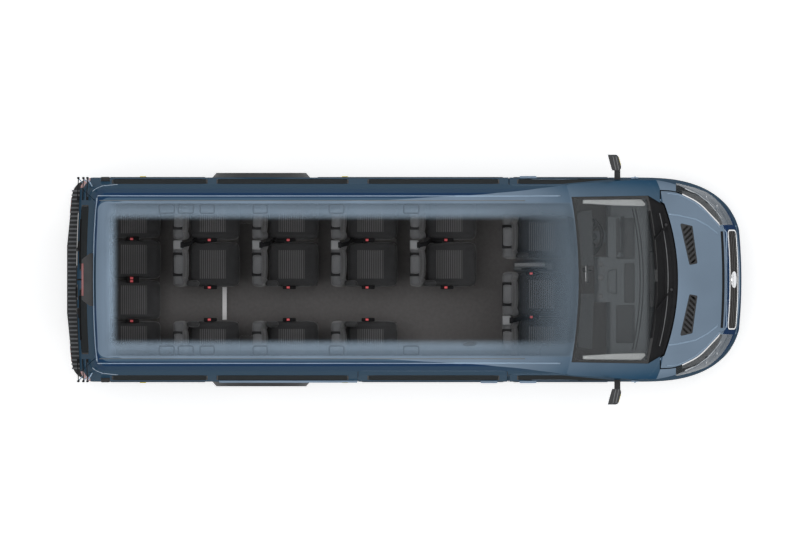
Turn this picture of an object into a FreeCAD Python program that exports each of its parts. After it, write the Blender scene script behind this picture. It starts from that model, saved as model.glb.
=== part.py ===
"""A long high-roof minibus with a left-hand cab, twin rear wheels and rows of passenger seats.

Frame: +X forward, +Y to the vehicle's left, +Z up. The origin is on the ground, midway along and across.
The body is a hollow shell between an outer and an inner hull. Each hull is the overlap of two lofts:
one rises through plan outlines and shapes the sides and corners, the other runs across the vehicle
through side profiles and shapes the bonnet, the windscreen and the roof. Prisms cut the shell into panels.
Most pieces are built for the left side and mirrored.
"""

import FreeCAD
import Part

import math
import os
from functools import lru_cache

from FreeCAD import Vector

# Whole vehicle
LENGTH = 6704.0
HEIGHT = 2760.0
BODY_WIDTH = 2030.0
WHEELBASE = 3750.0
FRONT_OVERHANG = 1023.0

HALF_LENGTH = LENGTH / 2
HALF_WIDTH = BODY_WIDTH / 2
FRONT_AXLE_X = HALF_LENGTH - FRONT_OVERHANG
REAR_AXLE_X = FRONT_AXLE_X - WHEELBASE

# Clearances, and one overrun for all cuts
CUT_OVERRUN = 60.0
SEAT_GAP = 0.3
DOOR_GAP = 8.0
BONNET_GAP = 11.0
DOOR_CLEARANCE = 8.0

# Body shell
WALL = 45.0
GLASS_INSET = 3.0
GLASS_THICKNESS = 6.0
REAR_CORNER = 130.0
REAR_BOW = 28.0
NOSE_BOW = 24.0
# Height as a share of HEIGHT, half width as a share of HALF_WIDTH, front and rear as shares of HALF_LENGTH.
LEVEL_SHARES = [
    (0.094, 0.952, 0.9880, 0.966),
    (0.152, 0.988, 0.9975, 0.969),
    (0.217, 0.997, 1.0000, 0.970),
    (0.275, 0.999, 0.9900, 0.970),
    (0.330, 1.000, 0.9740, 0.969),
    (0.384, 0.999, 0.9560, 0.968),
    (0.453, 0.987, 0.9280, 0.964),
    (0.600, 0.962, 0.9000, 0.953),
    (0.743, 0.936, 0.8900, 0.941),
    (0.851, 0.892, 0.8850, 0.933),
    (0.924, 0.849, 0.8800, 0.926),
    (0.964, 0.803, 0.8750, 0.919),
    (0.984, 0.760, 0.8720, 0.914),
    (1.004, 0.650, 0.8700, 0.906),
]
NOSE_HALF_WIDTH_SHARE = 0.49
NOSE_LEAD_SHARE = 0.27
NOSE_POLE_SHARES = (0.62, 0.08, 0.276)
ROUND_CORNER_SHARE = 0.5523
# Side profile on the centre line, front to rear: X as a share of HALF_LENGTH, height as a share of HEIGHT.
PROFILE_SHARES = [
    (1.020, 0.3360),
    (0.895, 0.4210),
    (0.776, 0.4670),
    (0.644, 0.6430),
    (0.504, 0.7950),
    (0.397, 0.8950),
    (0.239, 0.9640),
    (0.030, 0.9905),
    (-0.209, 1.0000),
    (-0.835, 1.0000),
    (-0.898, 0.9920),
    (-0.934, 0.9600),
    (-1.014, 0.8510),
]
CROWN_DEPTH = 70.0
CROWN_EDGE_DEPTH = 120.0
CROWN_EDGE_POWER = 8
CROWN_STATION_SHARES = (0.0, 0.394, 0.690, 0.887, 0.985, 1.064)
HULL_BASE_Z = 100.0
HULL_MARGIN = 120.0

# Roof panel and sills
ROOF_SEAM_Y = 765.0
ROOF_BASE_Z = 2100.0
SILL_Z = 360.0

# Front doors
B_PILLAR_X = 1041.0
DOOR_BASE_Z = 450.0
DOOR_TOP_Z = 2125.0
DOOR_FRONT_X = 2290.0
DOOR_BELT_Z = 1262.0
DOOR_PILLAR_TOP_X = 1585.0
DOOR_CORNER = 60.0
DOOR_ARCH_BAND = 60.0
BELT_Z = 1285.0
MIRROR_BELT_Z = 1225.0
WINDOW_TOP_Z = 2035.0
WINDOW_CORNER = 70.0
FRAME_WIDTH = 85.0
BELT_DIP_X = 1640.0
BELT_DIP_LENGTH = 110.0
SAIL_X = 2130.0
DOOR_HINGE_Y = 1018.0
DOOR_HINGE_HEIGHTS = (900.0, 1170.0)
HINGE_BARREL_RADIUS = 9.0
HINGE_BARREL_LENGTH = 42.0
HINGE_LEAF_REACH = 34.0
HINGE_POCKET_GAP = 5.0

# Sliding door and its rail cover, on the right only
SLIDE_REAR_X = -460.0
SLIDE_TOP_Z = 2330.0
SLIDE_GAP = 6.0
SLIDE_LATCH_LENGTH = 60.0
SLIDE_LATCH_Z = 1000.0
RAIL_COVER_Z = 1175.0
RAIL_COVER_HEIGHT = 46.0
RAIL_COVER_Y = 1025.0
RAIL_COVER_DEPTH = 40.0
RAIL_COVER_REAR_X = -1840.0

# Fixed side windows: rear and front edge of each aperture
WINDOW_SPANS = [(-2900.0, -1960.0), (-1860.0, -560.0), (-360.0, 940.0)]

# Rear doors
REAR_DOOR_BASE_Z = 605.0
REAR_DOOR_TOP_Z = 2540.0
REAR_DOOR_LOW_Y = 900.0
REAR_DOOR_HIGH_Y = 785.0
REAR_DOOR_CORNER = 70.0
REAR_DOOR_WAIST_CORNER = 300.0
REAR_WINDOW_INNER_Y = 95.0
REAR_WINDOW_OUTER_Y = 735.0
REAR_WINDOW_TOP_Z = 2020.0
REAR_WALL_DEPTH = 420.0
REAR_HINGE_Y = 1010.0
REAR_HINGE_X = -3222.0
REAR_HINGE_REF_Z = 1000.0
REAR_LEAN_SHARE = 0.081
REAR_HINGE_HEIGHTS = (780.0, 1400.0, 1900.0)
REAR_HINGE_RADIUS = 11.0
REAR_HINGE_LENGTH = 36.0
REAR_HINGE_ARM = 10.0
REAR_HINGE_END_GAP = 1.3
REAR_HINGE_ARM_END_Y = 790.0
REAR_HINGE_PAD_LENGTH = 34.0
REAR_HINGE_PAD_DEPTH = 26.0
REAR_HINGE_FOOT_X = 90.0
REAR_HINGE_FOOT_REACHES = (96.0, 96.0, 150.0)

# Windscreen and cowl, seen in plan
SCREEN_TOP_X = 1733.0
SCREEN_TOP_CORNER_X = 1662.0
SCREEN_TOP_Y = 822.0
SCREEN_BASE_X = 2520.0
SCREEN_BASE_CORNER_X = 2425.0
SCREEN_BASE_Y = 835.0
COWL_FRONT_X = 2711.0
COWL_SHOULDER_X = 2575.0
COWL_SHOULDER_Y = 745.0
COWL_DROP = 14.0
SCREEN_CUT_BASE_Z = 930.0

# Bonnet, seen in plan: front edge to rear edge, left half
BONNET_POINTS = [(3205.0, 470.0), (3112.0, 575.0), (2930.0, 768.0), (2705.0, 878.0), (2546.0, 886.0)]
BONNET_CORNERS = (60.0, 260.0, 500.0, 400.0, 0.0)
BONNET_CUT_BASE_Z = 1000.0
BONNET_THICKNESS = 24.0
BONNET_HINGE_X = BONNET_POINTS[-1][0]
BONNET_HINGE_Z = 1262.0
BONNET_HINGE_Y = 790.0
BONNET_HINGE_RADIUS = BONNET_GAP / 2 - SEAT_GAP
BONNET_HINGE_LENGTH = 20.0
BONNET_HINGE_LEAF = 60.0
VENT_POINTS = [(2741.0, 563.0), (2865.0, 533.0), (2915.0, 160.0), (2835.0, 145.0)]
VENT_CORNER = 14.0
VENT_INSET = 3.0
VENT_THICKNESS = 15.0
VENT_SLOTS = 8
VENT_SLOT_WIDTH = 20.0
VENT_SLOT_REACH = 250.0
VENT_SLOT_TURN = 45.0
VENT_RIM = 14.0

# Nose: front panel, grille, headlamps and bumper
WING_TOP_Z = 1275.0
WING_REAR_X = 1850.0
NOSE_PANEL_HALF_WIDTH = 545.0
NOSE_PANEL_REAR_X = 2740.0
GRILLE_TOP_Z = 985.0
GRILLE_BASE_Z = 745.0
GRILLE_HALF_WIDTH = 500.0
GRILLE_CORNER = 45.0
GRILLE_BARS = 4
GRILLE_BAR_HEIGHT = 16.0
GRILLE_INSET = 4.0
GRILLE_DEPTH = 36.0
GRILLE_RIM = 20.0
LAMP_REAR_X = 2700.0
LAMP_REAR_Z = 1075.0
LAMP_BASE_Z = 800.0
LAMP_KNEE_X = 3010.0
BUMPER_TOP_Z = 720.0
BUMPER_BASE_Z = 275.0
BUMPER_REAR_X = 2640.0
INTAKE_TOP_Z = 560.0
INTAKE_BASE_Z = 395.0
INTAKE_HALF_WIDTH = 520.0
INTAKE_CORNER = 30.0
INTAKE_BARS = 3
INTAKE_BAR_HEIGHT = 14.0

# Wheels and arches
TYRE_RADIUS = 349.0
TYRE_WIDTH = 195.0
RIM_RADIUS = 203.0
FRONT_WHEEL_Y = 866.0
REAR_OUTER_WHEEL_Y = 946.0
REAR_INNER_WHEEL_Y = 708.0
FRONT_ARCH_RADIUS = 405.0
REAR_ARCH_RADIUS = 430.0
ARCH_BASE_RADIUS = 512.0
ARCH_LIP_RADIUS = 446.0
ARCH_OUTER_Y = 1061.0
ARCH_ROOT_Y = 985.0
ARCH_CUT_Y = 560.0
TREAD_WIDTH = 168.0
SHOULDER_RADIUS = 330.0
RIM_HALF_WIDTH = 76.0
RIM_WALL = 12.0
WHEEL_OFFSET = 119.0
DISC_THICKNESS = 10.0
DISH_RADIUS = 158.0
DISH_EDGE_INSET = 34.0
HUB_RADIUS = 56.0
WHEEL_HOLES = 6
WHEEL_HOLE_RADIUS = 16.0
WHEEL_HOLE_CIRCLE = 112.0

# Steering knuckles: the kingpin passes through (FRONT_AXLE_X, KINGPIN_Y) at axle height
KINGPIN_TILT = 11.0
KINGPIN_Y = 752.0
BRAKE_DISC_RADIUS = 138.0
BRAKE_DISC_THICKNESS = 24.0
BRAKE_DISC_Y = 832.0
SPINDLE_RADIUS = 30.0
SPINDLE_END_Y = 900.0
UPRIGHT_RADIUS = 20.0
STRUT_RADIUS = 27.0
STRUT_TOP_Z = 762.0
BALL_RADIUS = 24.0
BALL_BASE_Z = 206.0
BALL_Z = 232.0
BALL_TOP_Z = 256.0
CALIPER_LENGTH = 60.0
CALIPER_HEIGHT = 120.0
CALIPER_THICKNESS = 30.0
CALIPER_X = -120.0

# Front subframe and wheel liners
SUBFRAME_HALF_WIDTH = 400.0
SUBFRAME_LENGTH = 300.0
SUBFRAME_BASE_Z = 205.0
SUBFRAME_TOP_Z = 285.0
ARM_WIDTH = 90.0
ARM_THICKNESS = 30.0
LINER_RADIUS = 436.0
LINER_WALL = 6.0
LINER_GAP = 0.8
LINER_INNER_Y = 540.0
LINER_BASE_Z = 430.0
LINER_CLOSED_Z = 640.0
TOWER_RADIUS = 58.0

# Rear axle
AXLE_RADIUS = 46.0
DIFF_RADIUS = 140.0
DIFF_LENGTH = 190.0
DRUM_RADIUS = 138.0
DRUM_INNER_Y = 640.0
DRUM_OUTER_Y = 795.0
SPRING_Y = 520.0
SPRING_WIDTH = 66.0
SPRING_THICKNESS = 40.0
SPRING_HALF_LENGTH = 700.0
SPRING_TOP_Z = 466.0
SPRING_SADDLE_LENGTH = 130.0

# Underframe
RAIL_Y = 430.0
RAIL_WIDTH = 70.0
FRAME_BASE_Z = 500.0
FRAME_TOP_Z = 640.0
FRAME_REAR_X = -3160.0
CROSS_XS = (-3090.0, -2450.0, -1960.0, -880.0, -250.0, 520.0, 1240.0, 1860.0)
CROSS_LENGTH = 70.0
SILL_INNER_Y = 880.0
SILL_BOX_BASE_Z = 400.0
SILL_LEDGE_BASE_Z = 412.0
SILL_LEDGE_TOP_Z = 440.0
OUTRIGGER_XS = (-2700.0, -880.0, 520.0, 1700.0)
OUTRIGGER_HEIGHT = 60.0
SPRING_HANGER_LENGTH = 60.0
TANK_REAR_X = -260.0
TANK_FRONT_X = 450.0
TANK_INNER_Y = 495.0
TANK_OUTER_Y = 860.0
TANK_BASE_Z = 350.0
TANK_CORNER = 60.0

# Driveline and exhaust
SHAFT_RADIUS = 38.0
SHAFT_Z = 430.0
GEARBOX_REAR_X = 1620.0
GEARBOX_HALF_WIDTH = 120.0
GEARBOX_BASE_Z = 330.0
GEARBOX_TOP_Z = 480.0
ENGINE_REAR_X = 2440.0
ENGINE_FRONT_X = 2960.0
ENGINE_HALF_WIDTH = 270.0
ENGINE_BASE_Z = 390.0
ENGINE_TOP_Z = 1010.0
PIPE_RADIUS = 30.0
PIPE_Y = -255.0
SILENCER_RADIUS = 105.0
SILENCER_LENGTH = 620.0
TAILPIPE_X = -820.0
TAILPIPE_END_Y = -850.0

# Floor
FLOOR_TOP_Z = 690.0
REAR_FLOOR_TOP_Z = 770.0
FLOOR_STEP_X = -1765.0
FLOOR_REAR_X = -3170.0
BULKHEAD_X = 2335.0
BULKHEAD_THICKNESS = 45.0
BULKHEAD_TOP_Z = 1200.0
WHEELBOX_INNER_Y = 560.0
WHEELBOX_TOP_Z = 860.0
WHEELBOX_HALF_LENGTH = 480.0
WHEELBOX_WALL = 20.0
STEP_WELL_REAR_X = 420.0
STEP_WELL_FRONT_X = 980.0
STEP_WELL_INNER_Y = 680.0
STEP_WELL_Z = 470.0
STEP_WELL_WALL = 20.0
STEP_STRIP_LENGTH = 42.0
STEP_STRIP_LEFT_Y = -74.0
STEP_STRIP_RIGHT_Y = -399.0
STRIP_THICKNESS = 4.0

# Seats. A seat's own origin is on the floor below the front edge of its cushion.
SEAT_WIDTH = 451.0
SEAT_PITCH = 463.0
REAR_SEAT_WIDTH = 396.0
REAR_SEAT_PITCH = 404.0
CUSHION_DEPTH = 500.0
CUSHION_TOP = 450.0
CUSHION_DIP = 30.0
CUSHION_THICKNESS = 120.0
SEAT_LENGTH = 676.0
BACK_TOP = 985.0
BACK_BASE_THICKNESS = 105.0
BACK_TOP_THICKNESS = 125.0
HEADREST_WIDTH = 200.0
HEADREST_HEIGHT = 150.0
HEADREST_THICKNESS = 100.0
HEADREST_SETBACK = 18.0
HEADREST_RISE = 34.0
HEADREST_STEM_WIDTH = 110.0
HEADREST_STEM_THICKNESS = 14.0
SEAT_PAN_THICKNESS = 26.0
SEAT_PAN_MARGIN = 14.0
LEG_WIDTH = 34.0
LEG_FRONT_SETBACK = 150.0
LEG_SPAN = 290.0
LEG_RAIL_HEIGHT = 22.0
ROW_PITCH = 784.0
FIRST_ROW_X = -1632.0
LEFT_ROWS = 4
RIGHT_ROWS = 3
LEFT_DOUBLE_Y = 383.0
DOUBLE_LEG_OFFSETS = (-150.0, 150.0)
RIGHT_SINGLE_Y = -632.0
SINGLE_LEG_OFFSETS = (110.0, 170.0)
REAR_ROW_X = -2416.0
REAR_ROW_SEATS = 4
REAR_LEG_OFFSETS = (-480.0, -160.0, 160.0, 480.0)
FRONT_SEAT_X = 1640.0
DRIVER_Y = 427.0
FRONT_DOUBLE_Y = -376.0

# Dashboard and steering wheel
DASH_REAR_X = 2005.0
DASH_FRONT_X = 2430.0
DASH_TOP_Z = 1300.0
DASH_BASE_Z = 1010.0
DASH_FACE_DROP = 150.0
DASH_FACE_RAKE = 60.0
DASH_HALF_WIDTH = 905.0
DASH_CORNER = 40.0
STACK_REAR_X = 1890.0
STACK_HALF_WIDTH = 225.0
STACK_BASE_Z = 860.0
BINNACLE_HALF_WIDTH = 200.0
BINNACLE_HEIGHT = 55.0
BINNACLE_LENGTH = 210.0
COLUMN_RADIUS = 34.0
COLUMN_LENGTH = 560.0
SHROUD_START = 130.0
SHROUD_END = 330.0
SHROUD_HALF_WIDTH = 55.0
STEERING_TILT = 30.0
STEERING_X = 1800.0
STEERING_Z = 1280.0
STEERING_RADIUS = 190.0
STEERING_GRIP = 14.0
STEERING_HUB_RADIUS = 60.0
STEERING_HUB_LENGTH = 42.0
SPOKE_WIDTH = 42.0
SPOKE_THICKNESS = 14.0
SPOKES = 4
SPOKE_TURN = 45.0

# Mirrors
MIRROR_TIP_Y = 1242.0
MIRROR_INNER_Y = 1085.0
MIRROR_X = 2118.0
MIRROR_SWEEP = 45.0
MIRROR_DEPTH = 100.0
MIRROR_BASE_Z = 1270.0
MIRROR_TOP_Z = 1640.0
MIRROR_CORNER = 34.0
MIRROR_ARM_HEIGHT = 90.0
MIRROR_ARM_DEPTH = 60.0
MIRROR_ROOT_Y = 975.0

# Rear bumper and lamps
REAR_BUMPER_TOP_Z = 590.0
REAR_BUMPER_BASE_Z = 375.0
REAR_BUMPER_WALL = 50.0
REAR_BUMPER_HALF_WIDTH = 994.0
REAR_BUMPER_FLAT_Y = 330.0
REAR_BUMPER_BOW = 66.0
REAR_BUMPER_FRONT_X = -2960.0
REAR_BUMPER_CORNER = 170.0
BRACKET_WIDTH = 80.0
BRACKET_DROP = 10.0
BRACKET_RISE = 80.0
TAIL_LAMP_BASE_Z = 800.0
TAIL_LAMP_TOP_Z = 1330.0
TAIL_LAMP_FRONT_X = -3120.0
TAIL_LAMP_INNER_Y = 912.0
MARKER_XS = (-2597.0, -590.0)
MARKER_Z = 640.0
MARKER_LENGTH = 62.0
MARKER_HEIGHT = 26.0
MARKER_OUTER_Y = 1028.0

# Handles
HANDLE_LENGTH = 170.0
HANDLE_HEIGHT = 34.0
HANDLE_OUTER_Y = 1030.0
HANDLE_DEPTH = 40.0
HANDLE_Z = 1130.0
HANDLE_X = 1230.0
SLIDE_HANDLE_X = 842.0
HANDLE_CORNER = 12.0


def mirrored(shape):
    """The same shape on the other side of the vehicle."""
    return shape.mirror(Vector(0, 0, 0), Vector(0, 1, 0))


def both_sides(shape):
    """A compound of the shape and its mirror image."""
    return Part.makeCompound([shape, mirrored(shape)])


def fused(shapes):
    """One shape from several that touch or overlap, with needless edges removed."""
    return shapes[0].fuse(list(shapes[1:])).removeSplitter()


def box(x0, x1, y0, y1, z0, z1):
    """A box between two corners."""
    return Part.makeBox(x1 - x0, y1 - y0, z1 - z0, Vector(x0, y0, z0))


def rod(start, end, radius):
    """A round bar from start to end."""
    axis = end - start
    return Part.makeCylinder(radius, axis.Length, start, axis)


def rounded_wire(corners, place):
    """A closed wire through corners (u, v, radius). place turns (u, v) into a point in space."""
    starts, middles, ends = [], [], []
    count = len(corners)
    for i, (u, v, radius) in enumerate(corners):
        here = Vector(u, v, 0)
        if radius <= 0:
            starts.append(here)
            middles.append(None)
            ends.append(here)
            continue
        before = Vector(corners[i - 1][0], corners[i - 1][1], 0) - here
        after = Vector(corners[(i + 1) % count][0], corners[(i + 1) % count][1], 0) - here
        before.normalize()
        after.normalize()
        half = before.getAngle(after) / 2
        reach = radius / math.tan(half)
        bisector = before + after
        bisector.normalize()
        starts.append(here + before * reach)
        middles.append(here + bisector * (radius / math.sin(half) - radius))
        ends.append(here + after * reach)
    edges = []
    for i in range(count):
        if middles[i] is not None:
            points = [place(p.x, p.y) for p in (starts[i], middles[i], ends[i])]
            edges.append(Part.Arc(*points).toShape())
        to = starts[(i + 1) % count]
        if not to.isEqual(ends[i], SEAT_GAP / 100):
            edges.append(Part.LineSegment(place(ends[i].x, ends[i].y), place(to.x, to.y)).toShape())
    return Part.Wire(edges)


def side_prism(corners, y0, y1):
    """A prism across the vehicle, from an outline of (x, z, radius) corners."""
    wire = rounded_wire(corners, lambda u, v: Vector(u, y0, v))
    return Part.Face(wire).extrude(Vector(0, y1 - y0, 0))


def plan_prism(corners, z0, z1):
    """A prism upwards, from an outline of (x, y, radius) corners."""
    wire = rounded_wire(corners, lambda u, v: Vector(u, v, z0))
    return Part.Face(wire).extrude(Vector(0, 0, z1 - z0))


def end_prism(corners, x0, x1):
    """A prism along the vehicle, from an outline of (y, z, radius) corners."""
    wire = rounded_wire(corners, lambda u, v: Vector(x0, u, v))
    return Part.Face(wire).extrude(Vector(x1 - x0, 0, 0))


def rectangle(u0, u1, v0, v1, radius):
    """The corners of a rectangle with rounded corners."""
    return [(u0, v0, radius), (u1, v0, radius), (u1, v1, radius), (u0, v1, radius)]


def grown(corners, distance):
    """The outline moved outwards by distance, or inwards if it is negative."""
    count = len(corners)
    pairs = [(corners[i], corners[(i + 1) % count]) for i in range(count)]
    area = sum(a[0] * b[1] - b[0] * a[1] for a, b in pairs)
    turn = 1.0 if area > 0 else -1.0
    moved = []
    for i in range(count):
        a, b, c = corners[i - 1], corners[i], corners[(i + 1) % count]
        first = Vector(b[1] - a[1], a[0] - b[0], 0)
        second = Vector(c[1] - b[1], b[0] - c[0], 0)
        first.normalize()
        second.normalize()
        both = first + second
        shift = both * (distance * turn * 2 / both.dot(both))
        bend = first.x * second.y - first.y * second.x
        radius = b[2] + (distance if bend * turn > 0 else -distance) if b[2] > 0 else 0
        moved.append((b[0] + shift.x, b[1] + shift.y, radius))
    return moved


def revolved(section, centre):
    """A solid turned about an axle. The section is a closed list of (outward along Y, radius)."""
    points = [centre + Vector(0, along, radius) for along, radius in section]
    face = Part.Face(Part.makePolygon(points + points[:1]))
    return face.revolve(centre, Vector(0, 1, 0), 360)


def bezier(points):
    """A curve from the first point to the last, drawn towards those between."""
    curve = Part.BezierCurve()
    curve.setPoles(points)
    return curve.toShape()


def plan_outline(level, inset):
    """One horizontal outline of the body at a level, moved inwards by inset."""
    height_share, width_share, front_share, rear_share = level
    z = height_share * HEIGHT
    width = width_share * HALF_WIDTH - inset
    front = front_share * HALF_LENGTH - inset
    rear = -rear_share * HALF_LENGTH + inset
    lead_share, pull_share, spread_share = NOSE_POLE_SHARES
    nose = Vector(front - NOSE_BOW, NOSE_HALF_WIDTH_SHARE * HALF_WIDTH - inset / 2, z)
    side_front = Vector(front - NOSE_LEAD_SHARE * HALF_LENGTH, width, z)
    side_rear = Vector(rear + REAR_BOW + REAR_CORNER, width, z)
    rear_edge = Vector(rear + REAR_BOW, width - REAR_CORNER, z)
    rear_corner = Vector(rear_edge.x, side_rear.y, z)
    run = nose.x - side_front.x
    front_poles = [
        side_front,
        Vector(side_front.x + lead_share * run, width, z),
        Vector(nose.x - pull_share * run, nose.y + spread_share * HALF_WIDTH, z),
        nose,
    ]
    rear_poles = [
        rear_edge,
        rear_edge + (rear_corner - rear_edge) * ROUND_CORNER_SHARE,
        side_rear + (rear_corner - side_rear) * ROUND_CORNER_SHARE,
        side_rear,
    ]

    def flip(point):
        return Vector(point.x, -point.y, point.z)

    return Part.Wire([
        Part.Arc(flip(rear_edge), Vector(rear, 0, z), rear_edge).toShape(),
        bezier(rear_poles),
        Part.LineSegment(side_rear, side_front).toShape(),
        bezier(front_poles),
        Part.Arc(nose, Vector(front, 0, z), flip(nose)).toShape(),
        bezier([flip(p) for p in reversed(front_poles)]),
        Part.LineSegment(flip(side_front), flip(side_rear)).toShape(),
        bezier([flip(p) for p in reversed(rear_poles)]),
    ])


def side_loft(inset):
    """The loft up through the plan outlines, straight from each to the next: sides, nose and rear end."""
    return Part.makeLoft([plan_outline(level, inset) for level in LEVEL_SHARES], True, True)


def crown(share):
    """How far the top surfaces fall away at a share of the half width."""
    return CROWN_DEPTH * share**2 + CROWN_EDGE_DEPTH * share**CROWN_EDGE_POWER


def profile_outline(station_share, inset):
    """One side profile of the top surfaces at a station across the vehicle, moved inwards by inset."""
    y = station_share * HALF_WIDTH
    fall = crown(abs(station_share)) + inset
    points = [Vector(x * HALF_LENGTH, y, z * HEIGHT) for x, z in PROFILE_SHARES]
    last = len(points) - 1
    moved = []
    for i, point in enumerate(points):
        along = points[min(i + 1, last)] - points[max(i - 1, 0)]
        along.normalize()
        moved.append(point + Vector(-along.z, 0, along.x) * fall)
    rear_base = Vector(-HALF_LENGTH - HULL_MARGIN, y, HULL_BASE_Z)
    front_base = Vector(HALF_LENGTH + HULL_MARGIN, y, HULL_BASE_Z)

    def arc(i):
        return Part.Arc(moved[i], moved[i + 1], moved[i + 2]).toShape()

    def line(a, b):
        return Part.LineSegment(a, b).toShape()

    edges = [arc(0), arc(2), arc(4), arc(6), line(moved[8], moved[9]), arc(9), line(moved[11], moved[12])]
    edges += [line(moved[12], rear_base), line(rear_base, front_base), line(front_base, moved[0])]
    return Part.Wire(edges)


def top_loft(inset, ruled):
    """The loft across the vehicle through the side profiles: bonnet, windscreen and roof."""
    right_shares = [-share for share in reversed(CROWN_STATION_SHARES[1:])]
    outlines = [profile_outline(share, inset) for share in right_shares + list(CROWN_STATION_SHARES)]
    return Part.makeLoft(outlines, True, ruled)


@lru_cache(maxsize=None)
def hull(inset):
    """The closed body shape, moved inwards by inset, with smooth tops for what shows from outside."""
    return side_loft(inset).common(top_loft(inset, False))


@lru_cache(maxsize=None)
def cavity(inset):
    """The closed body shape, moved inwards by inset, with plainer tops for what faces inwards."""
    return side_loft(inset).common(top_loft(inset, True))


def door_outline():
    """The front door from the side. The wheel arch cuts its lower front corner away."""
    return [
        (B_PILLAR_X, DOOR_BASE_Z, DOOR_CORNER),
        (DOOR_FRONT_X, DOOR_BASE_Z, 0),
        (DOOR_FRONT_X, DOOR_BELT_Z, DOOR_CORNER / 2),
        (DOOR_PILLAR_TOP_X, DOOR_TOP_Z, DOOR_CORNER),
        (B_PILLAR_X, DOOR_TOP_Z, DOOR_CORNER),
    ]


def door_window_outline():
    """The glass of the front door, with the window sill dipping towards the mirror."""
    slope = (DOOR_FRONT_X - DOOR_PILLAR_TOP_X) / (DOOR_TOP_Z - DOOR_BELT_Z)
    front_top_x = DOOR_PILLAR_TOP_X + slope * (DOOR_TOP_Z - WINDOW_TOP_Z) - FRAME_WIDTH
    return [
        (B_PILLAR_X + FRAME_WIDTH, BELT_Z, WINDOW_CORNER),
        (BELT_DIP_X, BELT_Z, WINDOW_CORNER),
        (BELT_DIP_X + BELT_DIP_LENGTH, MIRROR_BELT_Z, WINDOW_CORNER),
        (SAIL_X, MIRROR_BELT_Z, WINDOW_CORNER / 2),
        (front_top_x, WINDOW_TOP_Z, WINDOW_CORNER),
        (B_PILLAR_X + FRAME_WIDTH, WINDOW_TOP_Z, WINDOW_CORNER),
    ]


def slide_door_outline():
    """The sliding door from the side."""
    return rectangle(SLIDE_REAR_X, B_PILLAR_X - DOOR_GAP * 2, DOOR_BASE_Z, SLIDE_TOP_Z, DOOR_CORNER)


def rear_door_outline():
    """The left rear door from behind."""
    return [
        (DOOR_GAP / 2, REAR_DOOR_BASE_Z, 0),
        (REAR_DOOR_LOW_Y, REAR_DOOR_BASE_Z, REAR_DOOR_CORNER / 2),
        (REAR_DOOR_LOW_Y, BELT_Z, REAR_DOOR_WAIST_CORNER),
        (REAR_DOOR_HIGH_Y, REAR_DOOR_TOP_Z, REAR_DOOR_CORNER),
        (DOOR_GAP / 2, REAR_DOOR_TOP_Z, 0),
    ]


def curved_plan(front_x, front_corner_x, front_y, rear_x, rear_corner_x, rear_y):
    """A tall plan shape with bowed front and rear edges and straight sides."""
    z = SCREEN_CUT_BASE_Z
    points = [
        Vector(rear_corner_x, -rear_y, z),
        Vector(rear_x, 0, z),
        Vector(rear_corner_x, rear_y, z),
        Vector(front_corner_x, front_y, z),
        Vector(front_x, 0, z),
        Vector(front_corner_x, -front_y, z),
    ]
    wire = Part.Wire([
        Part.Arc(points[0], points[1], points[2]).toShape(),
        Part.LineSegment(points[2], points[3]).toShape(),
        Part.Arc(points[3], points[4], points[5]).toShape(),
        Part.LineSegment(points[5], points[0]).toShape(),
    ])
    return Part.Face(wire).extrude(Vector(0, 0, HEIGHT))


def screen_cutter(gap):
    """The windscreen's area in plan, shrunk by gap on every side."""
    return curved_plan(
        SCREEN_BASE_X - gap,
        SCREEN_BASE_CORNER_X - gap,
        SCREEN_BASE_Y - gap,
        SCREEN_TOP_X + gap,
        SCREEN_TOP_CORNER_X + gap,
        SCREEN_TOP_Y - gap,
    )


def cowl_cutter(gap):
    """The cowl's area in plan, from the windscreen's foot to the bonnet, shrunk by gap."""
    return curved_plan(
        COWL_FRONT_X - gap,
        COWL_SHOULDER_X - gap,
        COWL_SHOULDER_Y - gap,
        SCREEN_BASE_X + gap,
        SCREEN_BASE_CORNER_X + gap,
        SCREEN_BASE_Y - gap,
    )


def bonnet_cutter(gap):
    """The bonnet's area in plan, grown by gap. Its rear part lies under the cowl's area."""
    half = [(x, y, radius) for (x, y), radius in zip(BONNET_POINTS, BONNET_CORNERS)]
    other = [(x, -y, radius) for x, y, radius in reversed(half)]
    return plan_prism(grown(half + other, gap), BONNET_CUT_BASE_Z, HEIGHT)


def across(x, radius, inner_y):
    """A round cut through the left side at a wheel, from inner_y outwards."""
    return Part.makeCylinder(radius, HALF_WIDTH, Vector(x, inner_y, TYRE_RADIUS), Vector(0, 1, 0))


def arch_space(x, radius, inner_y):
    """The wheel arch opening, with straight sides down past the sill."""
    legs = box(x - radius, x + radius, inner_y, inner_y + HALF_WIDTH, -CUT_OVERRUN, TYRE_RADIUS)
    return across(x, radius, inner_y).fuse(legs)


def door_prism(gap):
    """The front door's area through the left side, grown by gap, less the band round the wheel arch."""
    prism = side_prism(grown(door_outline(), gap), ROOF_SEAM_Y, HALF_WIDTH + HULL_MARGIN)
    band_radius = FRONT_ARCH_RADIUS + DOOR_ARCH_BAND - gap
    return prism.cut(across(FRONT_AXLE_X, band_radius, ROOF_SEAM_Y - CUT_OVERRUN))


def window_prism(span, gap):
    """One side window's area through the left side, grown by gap."""
    outline = rectangle(span[0], span[1], BELT_Z, WINDOW_TOP_Z, WINDOW_CORNER)
    return side_prism(grown(outline, gap), ROOF_SEAM_Y - CUT_OVERRUN, HALF_WIDTH + HULL_MARGIN)


def door_window_prism(gap):
    """The front door glass's area through the left side, grown by gap."""
    outline = grown(door_window_outline(), gap)
    return side_prism(outline, ROOF_SEAM_Y - CUT_OVERRUN, HALF_WIDTH + HULL_MARGIN)


def slide_prism(gap):
    """The sliding door's area through the right side, grown by gap."""
    return side_prism(grown(slide_door_outline(), gap), -HALF_WIDTH - HULL_MARGIN, -ROOF_SEAM_Y)


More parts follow.
